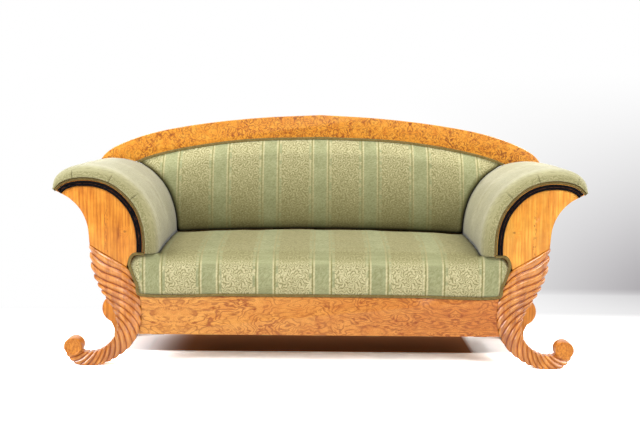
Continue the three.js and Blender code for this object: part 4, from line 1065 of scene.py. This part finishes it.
def arm_section():
    """Round the stuffing from its front edge: outward as a share of its thickness, and depth in mm."""
    turn = np.linspace(0, 1, 22) * math.pi / 2
    front = np.stack([np.sin(turn), FRONT_ROLL * (1 - np.cos(turn))], axis=-1)
    flat_depths = np.linspace(FRONT_ROLL, ARM_DEPTH - REAR_ROLL, 78)[1:-1]
    flat_top = np.stack([np.ones_like(flat_depths), flat_depths], axis=-1)
    turn = turn[::-2]
    rear = np.stack([np.sin(turn), ARM_DEPTH - REAR_ROLL * (1 - np.cos(turn))], axis=-1)
    inside = np.linspace(ARM_DEPTH, 0, 40)[1:-1]
    return np.vstack([front, flat_top, rear, np.stack([np.full_like(inside, -0.01), inside], axis=-1)])


def arm_stuffing(side):
    """A pad that follows the arm's curve, thins to the tip and is pleated over its front edge."""
    mirror = -1 if side == "_left" else 1
    shares = even_shares(arm_line, 5.5, ARM_PLEATS[side])
    section = arm_section()
    outward, depth = section.T
    past = np.clip((shares - THIN_FROM) / (1 - THIN_FROM), 0, None)
    thick = PAD_THICK * np.sqrt(np.maximum(THIN_LEFT, 1 - past**THIN_BEND))
    crown = 0.985 + 0.03 * np.sin(math.pi * np.clip(depth / ARM_DEPTH, 0, 1))
    out = PAD_BASE + thick[:, None] * (outward * crown)[None, :]
    flat = np.stack([beside(arm_line, shares, out[:, i]) for i in range(len(section))], axis=1)
    flat[..., 0] *= mirror
    rings = at_depth(flat, leaning(np.broadcast_to(depth, out.shape), flat[..., 1]))
    piece = loft("arm_stuffing" + side, rings, arm_cover)
    pad_piece(piece, "arm_pad" + side)

    ends = [len(shares) * len(section)] * 2
    share_of = np.append(np.repeat(shares, len(section)), [0, 1])
    outer = np.append(np.tile(outward, len(shares)), [0, 0])
    across = np.append(np.tile(run_along(section * [PAD_THICK, 1]), len(shares)), [0, 0])
    inner = np.append(np.tile(outward < 0.12, len(shares)), [True, True])
    run = arm_run(share_of)
    near_end = np.minimum(run, arm_length - run)
    free = np.where(inner, 0, np.clip(outer, 0, 1) ** 2) * np.clip(near_end / 40, 0.0, 1)
    swell(piece, free, 3.5)

    from_pleat = [run - place for place in arm_run(ARM_PLEATS[side])]
    valley = sum(np.exp(-((off / 1.9) ** 2)) for off in from_pleat)
    lips = sum(np.exp(-(((abs(off) - 6) / 3.5) ** 2)) for off in from_pleat)
    pleated = np.clip((PLEAT_REACH - across) / PLEAT_FADE, 0, 1)
    gathers = 0.35 * np.sin(run / 3.1 + 2 * np.sin(run / 17)) * np.clip(1 - across / BORDER, 0, 1)
    rise = (PLEAT_LIP * lips - PLEAT_DEEP * valley) * pleated + gathers + hair_hollows(piece, 0.7)
    raise_by(piece, rise * np.where(inner, 0, 1))
    # Painted sheen: the floats show lighter on the front border, which faces the viewer.
    painted_sheen = np.interp(across, [0, BORDER, BORDER + 10], [0.5, 0.42, 0.12])
    x, y, z = places_of(piece).T / MM
    over_seat = z - seat_top(np.abs(x), y - DEPTH_ZERO / MM)
    # Dirt and painted shade: darker where the arm meets the seat, towards the back of its lower part and in
    # the pleats' valleys.
    soil = np.interp(over_seat, *DIRT_AND_SHADE_OVER_SEAT)
    soil += np.interp(across, [110, 520, 585, 600], DIRT_AND_SHADE_ALONG_ARM[side]) * (run < DIRT_AND_SHADE_LOW_ON_ARM)
    soil += 0.3 * pleated * sum(np.exp(-((off / 2.4) ** 2)) for off in from_pleat)
    set_weave(piece, (ARM_STRIPE_START - across) * MM, run * MM, painted_sheen, soil)
    return piece


arms = [arm_stuffing(side) for side in ("_right", "_left")]
print("arm stuffing", len(arms[0].data.vertices), "points each")

# %% [markdown]
# ## Back's stuffing
# The back is one pad between arms, seat and crest, fullest in its lower half, with a flat lip under the
# crest for the braid. A plane could be subdivided and pushed out, but its edge wouldn't follow the arms
# and the crest. So each vertex has a share across and a share up, and a function finds its place between
# those curves.

# %% The back's outline
BACK_BASE = 607.6
BACK_FOOT, BACK_HEAD, BACK_BELLY, BACK_LIP = 66, 34, 26, 6
BELLY_BEND = 0.8
SIDE_TUCK = 2.4
CORNER_DROP = 0.4
BRAID_LIP = 11.6
CREST_FIT = 0.6
TOP_ROLL, FOOT_ROLL, SIDE_ROLL = 0.16, 0.1, 0.04

side_line = beside(arm_line, spine_shares, np.full(len(spine_shares), PAD_BASE + PAD_THICK - SIDE_TUCK))
corner = np.flatnonzero(side_line[:, 1] > crest_foot(side_line[:, 0]) - CREST_FIT - CORNER_DROP)[0]
side_line = side_line[:corner]


def seat_height_at_back(x):
    """Top of the seat in mm where the back stands on it."""
    return SEAT_BACK_HEIGHT - 1 - SEAT_SIDE_DROP * np.minimum(1, np.abs(x) / SEAT_REACH) ** 2


def back_place(u, v):
    """Across and height in mm on the back's stuffing: u from side to side, v from seat to crest."""
    low, high = seat_height_at_back(side_line[0, 0]), side_line[-1, 1]
    height = low + (high - low) * v
    edge = np.interp(height, side_line[:, 1], side_line[:, 0])
    x = edge * np.abs(u)
    floor = seat_height_at_back(side_line[0, 0] * np.abs(u))
    top = crest_foot(x) - CREST_FIT
    slack = low + (crest_foot(edge) - CREST_FIT - low) * v - height
    return np.sign(u) * x, floor + (top - floor) * v - slack * np.abs(u) ** 6


print("the back is", round(2 * side_line[:, 0].max()), "mm wide at its widest")

# %% Back's stuffing
def edge_roll(share):
    """A quarter round from 0 at the edge to 1."""
    return np.sqrt(1 - (1 - np.clip(share, 0, 1)) ** 2)


def back_stuffing():
    """A belly between seat and crest, in a grid finer at its edges, with a flat lip for the crest's braid."""
    spread = np.linspace(-1, 1, 241)
    u = spread * (1.25 - 0.25 * spread**2)
    lift = np.linspace(0, 1, 85)
    v = lift * (1.5 - 0.5 * lift) * 0.4 + lift**0.92 * 0.6
    uu, vv = np.meshgrid(u, v)
    x, z = back_place(uu, vv)
    lip = BRAID_LIP / (side_line[-1, 1] - side_line[0, 1])
    rolls = edge_roll((1 - vv - lip) / TOP_ROLL) * edge_roll((vv + 0.03) / FOOT_ROLL)
    rolls *= edge_roll((1.01 - np.abs(uu)) / SIDE_ROLL)
    full = BACK_FOOT + (BACK_HEAD - BACK_FOOT) * vv + BACK_BELLY * np.sin(math.pi * vv**BELLY_BEND)
    thick = BACK_LIP + (full - BACK_LIP) * rolls
    front = at_depth(np.stack([x, z], axis=-1), leaning(BACK_BASE - thick, z))
    rear = at_depth(np.stack([x, z], axis=-1), leaning(np.full_like(x, BACK_BASE), z))
    grid = vertex_grid(*x.shape)
    rim = np.concatenate([grid[0, :-1], grid[:-1, -1], grid[-1, :0:-1], grid[:0:-1, 0]])
    far = np.arange(len(rim)) + grid.size
    sides = np.stack([rim, np.roll(rim, -1), np.roll(far, -1), far], axis=-1)
    vertices = np.vstack([front.reshape(-1, 3), rear.reshape(-1, 3)[rim]])
    faces = [*side_faces(grid), *sides.tolist(), far.tolist()]
    piece = new_piece("back_stuffing", vertices, faces, cover_cloth)
    pad_piece(piece, "back_pad")

    free = np.append(np.clip(rolls.ravel() * 1.4 - 0.4, 0, 1), np.zeros(len(rim)))
    swell(piece, free, 3.5)
    raise_by(piece, hair_hollows(piece, 0.8) * free)
    across, run, at_side, at_foot = (np.append(v, v.ravel()[rim]) for v in (x * MM, z * MM, np.abs(uu), vv))
    # Painted sheen: the floats show lighter higher up the back and fainter towards its foot, which is painted
    # shade.
    painted_sheen = np.interp(run, [0.48, 0.62, 0.9], [0.3, 0.5, 0.85])
    # Dirt and painted shade: darker towards the foot of the back and at its sides, where it meets the arms.
    soil = np.interp(at_foot, [0, 0.012, 0.03, 0.3, 0.9], [0.75, 0.5, 0.36, 0.2, 0.03])
    soil += np.interp(at_side, [0.955, 0.978, 0.995], [0, 0.25, 0.8])
    set_weave(piece, across, run, painted_sheen, soil)
    return piece


back = back_stuffing()
print("back stuffing", len(back.data.vertices), "points")

# %% [markdown]
# ## Seat's stuffing
# The seat is sprung hair with an upright front border under a rolled edge. Its solid in the frame has the
# right form, but its faces are too long and uneven to bend as cloth. Subdividing would keep them uneven,
# while a voxel remesh, smoothed a little, gives the same form in small even faces.

# %% Seat's stuffing
SEAT_VOXEL = 6.5
SEAT_STRIPE_SHIFT = 10


def over(value, start, reach):
    """0 up to a start, and 1 from that reach beyond it."""
    return np.clip((value - start) / reach, 0, 1)


def seat_stuffing():
    """The seat's own solid in an even mesh, free on its top and its front border."""
    piece = bpy.data.objects.new("seat_stuffing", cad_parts["seat_pad"].data.copy())
    scene.collection.objects.link(piece)
    piece.data.name = piece.name
    piece.data.materials.clear()
    piece.data.materials.append(cover_cloth)
    remesh = piece.modifiers.new("remesh", "REMESH")
    remesh.mode = "VOXEL"
    remesh.voxel_size = SEAT_VOXEL * MM
    even = piece.modifiers.new("even", "SMOOTH")
    even.iterations = 5
    even.factor = 0.55
    baked(piece)
    piece.data.polygons.foreach_set("use_smooth", [True] * len(piece.data.polygons))
    pad_piece(piece, "seat_pad")

    x, y, height = places_of(piece).T / MM
    depth = y - DEPTH_ZERO / MM
    aside = np.abs(x)
    on_top = over(-aside, -640, 30) * over(height, 415, 15) * over(-depth, -570, 40)
    on_front = over(-depth, -14, 6) * over(height, 300, 25) * over(-aside, -735, 30)
    free = np.maximum(on_top, on_front * 0.6)
    swell(piece, free, 4)
    raise_by(piece, hair_hollows(piece, 1.0) * free)
    run = depth * over(depth, 6, SEAT_ROLL * 0.9) + np.clip(height, 0, SEAT_FRONT_HEIGHT)
    # Painted sheen: the floats show light on the front border, which faces the viewer, and faint on the flat
    # top.
    painted_sheen = np.interp(depth, [0, 8, 22, 60, 200], [1.0, 0.95, 0.6, 0.25, 0.12])
    # Dirt and painted shade: the seat's top is darkened, more near the back and where it meets the arms.
    soil = 0.2 * over(depth, 12, 40) + np.interp(depth, [520, 575], [0, 0.35])
    soil += np.interp(aside, [560, 625, 641, 660], [0, 0.12, 0.8, 0.3]) * over(depth, 30, 30)
    set_weave(piece, (x - SEAT_STRIPE_SHIFT) * MM, run * MM, painted_sheen, soil)
    return piece


seat = seat_stuffing()
print("seat stuffing", len(seat.data.vertices), "points")

# %% [markdown]
# ## Braid
# The edge of the cover is hidden by a gimp: two twisted cords laid side by side on a narrow tape, glued
# and pinned. It runs round the seat's border, up the front of each arm and under the crest. A flat strip
# with a bump would look printed at the ends, so each cord is a tube whose section has the lobes of its
# strands, turned a little further at each step.

# %% Twisted cords on a tape
CORD_SIDES = 10
CORD_STEP = 1.8
TWIST_PITCH = 13
TAPE_THICK = 1.3
GIMP_WIDTH = 11
ARM_GIMP_WIDTH = 8.5
GLUE_LINE = 0.3
CREST_LAP = 0.9
TRIM_BASE = 7.7
SEAT_TRIM_BASE, SEAT_TRIM_MIDDLE = 9.0, -6.7
TRIM_FOOT = 458.6
SEAT_EAR_TOP, SEAT_EAR_DROP, SEAT_EAR = 458, 50, 759
EAR_SHARES = [(0.04, 0), (0.62, 0.02), (0.84, 0.25), (0.96, 0.58), (1.07, 1.2)]
FINE_SHARES = np.linspace(0, 1, 2401)


def evenly(curve, start=0.0, end=1.0, step=CORD_STEP):
    """Shares of a curve at even distances, between two shares of it."""
    shares = start + (end - start) * FINE_SHARES
    run = run_along(curve(shares)[:, :2])
    return np.interp(np.linspace(0, run[-1], round(run[-1] / step) + 1), run, shares)


def tube(rings):
    """Places and faces of a closed tube through rings of as many places each."""
    grid = vertex_grid(*rings.shape[:2])
    return rings.reshape(-1, 3), [*side_faces(grid, closed=True), grid[0].tolist(), grid[-1].tolist()]


def joined(name, parts, materials):
    """One piece from several bodies, each with its own material."""
    vertices, faces, tints = [], [], []
    for tint, (places, sides) in parts:
        start = sum(len(v) for v in vertices)
        vertices.append(places)
        faces += [[start + i for i in side] for side in sides]
        tints += [tint] * len(sides)
    piece = new_piece(name, np.vstack(vertices), faces, materials[0])
    for material in materials[1:]:
        piece.data.materials.append(material)
    piece.data.polygons.foreach_set("material_index", tints)
    return piece


def braid_trim(name, curve, shares, middle, width, base):
    """Two twisted cords on a tape. Middle is the tape's offset from the curve and base its depth, in mm."""
    radius = width * 0.21
    run = np.arange(len(shares)) * CORD_STEP
    round_it = np.arange(CORD_SIDES) / CORD_SIDES * 2 * math.pi
    parts = []
    for hand in (-1, 1):
        turn = round_it[None, :] - hand * 2 * math.pi * run[:, None] / TWIST_PITCH
        reach = radius * (0.88 + 0.14 * np.cos(3 * turn))
        out = middle + hand * width / 4 + reach * np.cos(round_it)
        rows = np.stack([beside(curve, shares, out[:, i]) for i in range(CORD_SIDES)], axis=1)
        depth = base - TAPE_THICK * 0.6 - reach * np.sin(round_it) * 0.9
        parts.append((0, tube(at_depth(rows, leaning(depth, rows[..., 1])))))
    edge = np.array([(-0.5, 0.0), (-0.5, TAPE_THICK), (0.5, TAPE_THICK), (0.5, 0.0)])
    out = middle + edge[:, 0] * width
    rows = np.stack([beside(curve, shares, np.full(len(shares), x)) for x in out], axis=1)
    depth = np.broadcast_to(base - edge[:, 1], rows.shape[:2])
    parts.append((1, tube(at_depth(rows, leaning(depth, rows[..., 1])))))
    piece = joined(name, parts, [cord_yarn, tape_cloth])
    return piece


print("cords turn once every", TWIST_PITCH, "mm")

# %% Braid on the arms
trim_start = FINE_SHARES[np.argmax(arm_line(FINE_SHARES)[:, 1] > TRIM_FOOT)]
arm_braid_shares = evenly(arm_line, trim_start)
arm_middle = -(GLUE_LINE + ARM_GIMP_WIDTH / 2)


def arm_braid(name):
    """The narrower braid up the front of an arm."""
    return braid_trim(name, arm_line, arm_braid_shares, arm_middle, ARM_GIMP_WIDTH, TRIM_BASE)


for_both_sides(arm_braid, "arm_braid", "gimp_arm")
print("arm braid", len(arm_braid_shares), "steps")

# %% Braid under the crest
braid_end = side_line[-1, 0] - 3
crest_half = crest_foot_line[crest_foot_line[:, 0] < braid_end - GIMP_WIDTH]
crest_half = np.vstack([crest_half, (braid_end, crest_foot(braid_end))])
crest_whole = smooth_curve(np.vstack([crest_half[:0:-1] * [-1, 1], crest_half]))
head_middle = CREST_LAP - GIMP_WIDTH / 2
head_base = BACK_BASE - BACK_LIP - GLUE_LINE
head_braid = braid_trim("back_braid", crest_whole, evenly(crest_whole), head_middle, GIMP_WIDTH, head_base)
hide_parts("gimp_back")
print("back braid", round(run_along(crest_whole(FINE_SHARES))[-1]), "mm")

# %% Braid round the seat
ear_width = SEAT_EAR - ARM_ROOT
ear = smooth_curve([(ARM_ROOT + x * ear_width, SEAT_EAR_TOP - z * SEAT_EAR_DROP) for x, z in EAR_SHARES])
leg_shares = np.linspace(0, 1, 61)
leg_way = slope(spine, leg_shares)
leg_middle = spine(leg_shares)
leg_inside = leg_middle[:, :2] + np.stack([leg_way[:, 1], -leg_way[:, 0]], axis=-1) * leg_middle[:, 2:] / 2
reached = (leg_inside[:, 1] < SEAT_EAR_TOP - SEAT_EAR_DROP) & (leg_inside[:, 1] > RAIL_TOP + 2 * GIMP_WIDTH)
leg_inside = leg_inside[reached][::2]
corner_x = leg_inside[-1, 0]
corner_turn = [(corner_x - 2.75, RAIL_TOP + GIMP_WIDTH), (corner_x - 14.3, RAIL_TOP), (354, RAIL_TOP)]
right_run = np.vstack([ear(np.linspace(0, 1, 7)[:-1]), leg_inside, corner_turn])
border_line = smooth_curve(np.vstack([right_run, [(0, RAIL_TOP)], right_run[::-1] * [-1, 1]]))
seat_braid = braid_trim(
    "seat_braid", border_line, evenly(border_line), SEAT_TRIM_MIDDLE, GIMP_WIDTH, SEAT_TRIM_BASE
)
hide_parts("gimp_seat")
print("braid", round(run_along(border_line(FINE_SHARES))[-1]), "mm round the seat")

# %% [markdown]
# ## Ebonised moulding on the arms
# A reeded bead frames each arm board: two half-round reeds with a thin fillet between them, bent round
# the curve. On the bench it is sawn and scraped to the curve. Here one fine section runs along the arm's
# line, and the fillet carries how far the stain is rubbed off it.

# %% Arm mouldings
WORN_LINE = 2.6
MOULD_OUTER = -(ARM_GIMP_WIDTH + WORN_LINE)
MOULD_WIDTH = 21.4
MOULD_PROUD = 7.5
MOULD_END = 0.97
FILLET = 2.6
REED_STEPS = 9
REED_SHOULDER, FILLET_HIGH = 0.28, 0.48


def reeded_section():
    """Across the moulding from its outer edge: offset and height in mm, and how far the stain is rubbed."""
    reed = (MOULD_WIDTH - FILLET) / 2
    places = [(0, 0, 0)]
    for start in (0, reed + FILLET):
        for q in np.linspace(0, 1, REED_STEPS):
            round_top = math.sqrt(max(0.0, 1 - (2 * q - 1) ** 2))
            rise = MOULD_PROUD * (REED_SHOULDER + (1 - REED_SHOULDER) * round_top)
            places.append((start + q * reed, rise, 0))
        if start == 0:
            places += [(reed + share * FILLET, MOULD_PROUD * FILLET_HIGH, 1) for share in (0.1, 0.5, 0.9)]
    return np.array([*places, (MOULD_WIDTH, 0, 0)], float)


def arm_reeding(name):
    """The reeded section along the arm's line, just outside its braid."""
    section = reeded_section()
    shares = evenly(arm_line, trim_start, MOULD_END, step=4)
    out = MOULD_OUTER - section[:, 0]
    rows = np.stack([beside(arm_line, shares, np.full(len(shares), x)) for x in out], axis=1)
    depth = np.broadcast_to(TRIM_BASE - section[:, 1], rows.shape[:2])
    piece = loft(name, at_depth(rows, depth), ebony)
    set_layer(piece, "rubbed", np.append(np.tile(section[:, 2], len(shares)), [0, 0]))
    return piece


mouldings = for_both_sides(arm_reeding, "arm_reeding", "arm_moulding")
print("mouldings", len(mouldings[0].data.polygons), "faces each")

# %% [markdown]
# ## Cloths that hold the stuffing
# Hessian is tacked over the springs, the arm boards and the back's frame, and a plain cotton covers the
# back from behind. A simulated sheet would only find the same taut shape again. So each is a thin skin
# laid straight over its frame, and the cotton sags a little in the bays between the frame's members.

# %% Skins
CLOTH_THICK = 1.2
OUTER_TOP_HIDDEN = 19
STILE_OUTER = 690
RAIL_FOOT = 129
LINING_DEPTH = 641.1
LINING_SAG = 3.5
FRONT_RAIL_FACE = 12
LEG_INSIDE = 687.9
SIDE_RAIL_FACE = 796
REAR_BOARD_FACE = 555
BACK_RAIL_FACE = 577.5
BACK_HESSIAN_DEPTH = 608.65
ACROSS_BAYS = [(-615, -265), (-205, 205), (265, 615)]
UPRIGHT_BAYS = [(135, 436), (504, 850)]


def thickened(piece, node):
    thick = piece.modifiers.new("thickness", "SOLIDIFY")
    thick.thickness = CLOTH_THICK * MM
    thick.offset = 0
    baked(piece)
    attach(piece, "root")
    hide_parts(node)


def skin(name, grid, material):
    """A single skin through a grid of places."""
    return new_piece(name, grid.reshape(-1, 3), side_faces(vertex_grid(*grid.shape[:2])), material)


def bays(place, spans):
    """1 in the middle of each span and 0 on the frame's members between them."""
    shares = [np.clip((place - low) / (high - low), 0, 1) for low, high in spans]
    return sum(np.sin(math.pi * share) for share in shares)


print("bays of the lining", len(ACROSS_BAYS) * len(UPRIGHT_BAYS))

# %% Cloth behind the back
def outer_lining():
    """The cotton behind the back, from the back rail's foot to behind the crest."""
    x, v = np.meshgrid(np.linspace(1 - STILE_OUTER, STILE_OUTER - 1, 93), np.linspace(0, 1, 61))
    foot = RAIL_FOOT + 1
    top = crest_foot(x) + OUTER_TOP_HIDDEN
    z = foot + (top - foot) * v
    sag = LINING_SAG * bays(x, ACROSS_BAYS) * bays(z, UPRIGHT_BAYS)
    depth = leaning(LINING_DEPTH - sag, z)
    piece = skin("outer_back_lining", at_depth(np.stack([x, z], axis=-1), depth), lining_cloth)
    thickened(piece, "outer_back_cloth")


outer_lining()

# %% Cloths on the arms
def arm_hessian(side):
    """The cloth between an arm's boards and its stuffing."""
    mirror = -1 if side == "_left" else 1
    shares = evenly(arm_line, step=9)
    rows = beside(arm_line, shares, np.full(len(shares), 1.1))
    depths = np.linspace(9, ARM_DEPTH - 1, 40)
    flat = np.repeat(rows[:, None], len(depths), axis=1)
    flat[..., 0] *= mirror
    grid = at_depth(flat, leaning(np.broadcast_to(depths, flat.shape[:2]), flat[..., 1]))
    piece = skin("arm_hessian" + side, grid, hessian)
    cut = (run_along(rows)[-1] * MM, (ARM_DEPTH - 10) * MM)
    thickened(piece, "arm_cloth" + side)


for side in ("_right", "_left"):
    arm_hessian(side)
print("arm cloths", ARM_DEPTH - 10, "mm deep")


def seat_hessian():
    """Cut round the legs' tops in front and the rear boards behind."""
    outline = [
        (FRONT_RAIL_FACE, LEG_INSIDE), (LEG_THICK + 0.2, LEG_INSIDE),
        (LEG_THICK + 0.6, SIDE_RAIL_FACE), (REAR_BOARD_FACE, SIDE_RAIL_FACE),
        (REAR_BOARD_FACE + 0.4, STILE_OUTER), (BACK_RAIL_FACE + 20, STILE_OUTER),
    ]
    depths, halves = np.transpose(outline)
    between_them = np.linspace(LEG_THICK + 20, REAR_BOARD_FACE - 20, 28)
    rows = np.sort(np.concatenate([depths, between_them]))
    half = np.interp(rows, depths, halves)
    x = half[:, None] * np.linspace(-1, 1, 89)
    depth = np.broadcast_to(rows[:, None], x.shape)
    z = RAIL_TOP + GLUE_LINE + 0.75 + 0.05 * np.sin(x / 90) * np.sin(depth / 70)
    piece = skin("seat_hessian", at_depth(np.stack([x, z], axis=-1), depth), hessian)
    thickened(piece, "seat_cloth")


def back_hessian():
    """The cloth between the back's webbing and its stuffing, a little smaller than the stuffing."""
    u, v = np.meshgrid(np.linspace(-0.985, 0.985, 121), np.linspace(0.01, 0.995, 41))
    x, z = back_place(u, v)
    grid = at_depth(np.stack([x, z], axis=-1), leaning(np.full_like(x, BACK_HESSIAN_DEPTH), z))
    piece = skin("back_hessian", grid, hessian)
    thickened(piece, "back_cloth")


seat_hessian()
back_hessian()

# %% [markdown]
# ## Webbing
# Under the springs and behind the back's stuffing runs jute webbing: 50 mm straps, strained and tacked to
# the rails, each passing over one cross strap and under the next. One flat lattice would do for the load,
# but not for the eye that looks in from below, so every strap here really weaves through the others.

# %% Straps
WEB_WIDTH = 50
STRAP_THICK = 0.8
WEAVE_RISE = 0.5
WEAVE_STEP = 5
BACK_WEB_DEPTH, BACK_WEB_FOOT, BACK_WEB_HALF = 610.7, 471, 669


def strap(along, crossings, first_over, place):
    """A closed strap between two ends, over and under others at their middles. Place makes it 3-D."""
    steps = np.linspace(*along, round((along[1] - along[0]) / WEAVE_STEP) + 1)
    swing = np.zeros_like(steps)
    for i, middle in enumerate(crossings):
        hand = 1 if (i % 2 == 0) == first_over else -1
        swing += hand * WEAVE_RISE * np.clip(2.0 - np.abs(steps - middle) / (WEB_WIDTH * 0.4), 0, 1)
    half = STRAP_THICK / 2
    edge = [(-1, -half), (1, -half), (1, half), (-1, half)]
    return tube(np.stack([place(steps, side * WEB_WIDTH / 2, swing + rise) for side, rise in edge], axis=1))


def webbing(name, node, uprights, crosses, layer):
    """Uprights and crosses are a middle and two ends in mm each. Layer makes places from three numbers."""
    parts = []
    for group, others, first_over in ((uprights, crosses, 0), (crosses, uprights, 1)):
        spots = [other[0] for other in others]
        for i, (middle, low, high) in enumerate(group):

            def place(run, side, rise):
                pair = (middle + side, run) if group is uprights else (run, middle + side)
                return layer(*pair, rise)

            parts.append((0, strap((low, high), spots, i % 2 == first_over, place)))
    piece = joined(name, parts, [jute_web])
    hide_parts(node)


print("straps", WEB_WIDTH, "mm wide")

# %% Webbing under the seat
def seat_layer(x, depth, rise):
    """Places under the seat's rails."""
    x, depth, rise = np.broadcast_arrays(x, depth, rise)
    height = RAIL_FOOT - GLUE_LINE - 1 + rise
    return at_depth(np.stack([x, height], axis=-1), leaning(depth, height))


seat_straps = [(x, FRONT_RAIL_FACE + 0.5, BACK_RAIL_FACE + 33) for x in np.linspace(-642.75, 642.75, 7)]
seat_crosses = [(y, -SIDE_RAIL_FACE + 1, SIDE_RAIL_FACE - 1) for y in np.linspace(133, 481, 3)]
webbing("seat_webbing_straps", "seat_webbing", seat_straps, seat_crosses, seat_layer)

# %% Webbing behind the back's stuffing
def back_layer(x, z, rise):
    """Places on the front of the back's frame."""
    x, z, rise = np.broadcast_arrays(x, z, rise)
    return at_depth(np.stack([x, z], axis=-1), leaning(BACK_WEB_DEPTH - rise, z))


def strap_head(x):
    """Height in mm at which an upright of the back ends under the crest."""
    return min(crest_foot(x - WEB_WIDTH / 2), crest_foot(x + WEB_WIDTH / 2)) - 0.8


back_straps = [(x, BACK_WEB_FOOT, strap_head(x)) for x in np.linspace(-569.7, 569.7, 7)]
back_crosses = [(z, -BACK_WEB_HALF, BACK_WEB_HALF) for z in (575, crest_foot(STILE_OUTER) - 75)]
webbing("back_webbing_straps", "back_webbing", back_straps, back_crosses, back_layer)

# %% [markdown]
# ## Finishes on the frame's own pieces
# Boards, rails and braces are already the right solids. They get their wood, a small worn edge and smooth
# curves. The edge could be cut into each mesh, but a modifier keeps the frame's solids as they came.

# %% Finishes on frame pieces
NODE_FINISHES = {
    "crest_rail": crest_veneer,
    "front_rail": rail_veneer,
    "arm_facing_right": right_board_wood_painted_light,
    "arm_facing": board_wood,
    "foot_roll": roll_wood,
    "rear_leg": board_wood,
    "arm_rear_board": board_wood,
    "arm_side_panel": side_wood,
    "spring_": spring_wire,
}
WORN_EDGE = 1.2
WELD_REACH = 0.02
EDGE_ANGLE = math.radians(32)


def smooth_by_angle():
    """A node group that shades smoothly, apart from edges over an angle."""
    group = bpy.data.node_groups.new("smooth_by_angle", "GeometryNodeTree")
    group.interface.new_socket("Geometry", in_out="INPUT", socket_type="NodeSocketGeometry")
    group.interface.new_socket("Geometry", in_out="OUTPUT", socket_type="NodeSocketGeometry")
    shape = put(group, "NodeGroupInput", {})
    soft = put(group, "GeometryNodeSetShadeSmooth", {0: shape, 2: True}, domain="FACE")
    angle = put(group, "GeometryNodeInputMeshEdgeAngle", {})
    sharp = put(group, "FunctionNodeCompare", {0: angle, 1: EDGE_ANGLE}, operation="GREATER_THAN")
    done = put(group, "GeometryNodeSetShadeSmooth", {0: soft, 1: sharp, 2: False}, domain="EDGE")
    end = group.nodes.new("NodeGroupOutput")
    group.links.new(done, end.inputs[0])
    return group


def finish_of(node):
    """The finish of the first name in the list that the node's name starts with, or plain beech."""
    found = [made for start, made in NODE_FINISHES.items() if node.startswith(start)]
    return found[0] if found else frame_beech


soften = smooth_by_angle()
for node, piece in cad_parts.items():
    piece.data.materials.clear()
    piece.data.materials.append(finish_of(node))
    if piece.hide_render:
        continue
    weld = piece.modifiers.new("weld", "WELD")
    weld.merge_threshold = WELD_REACH * MM
    if not node.startswith("spring_"):
        wear_dirt_and_shade = piece.modifiers.new("worn_edge", "BEVEL")
        wear_dirt_and_shade.width = WORN_EDGE * MM
        wear_dirt_and_shade.segments = 2
        wear_dirt_and_shade.limit_method = "ANGLE"
        wear_dirt_and_shade.angle_limit = EDGE_ANGLE
    piece.modifiers.new("soften", "NODES").node_group = soften
print("finished", len(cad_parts), "frame pieces")

# %% [markdown]
# ## View
# A filmic view would soften bright spots, but it would also shift the colours that were matched to the
# photograph, so the view is the standard one.

# %% Finish
scene.view_settings.view_transform = "Standard"
print("view", scene.view_settings.view_transform)
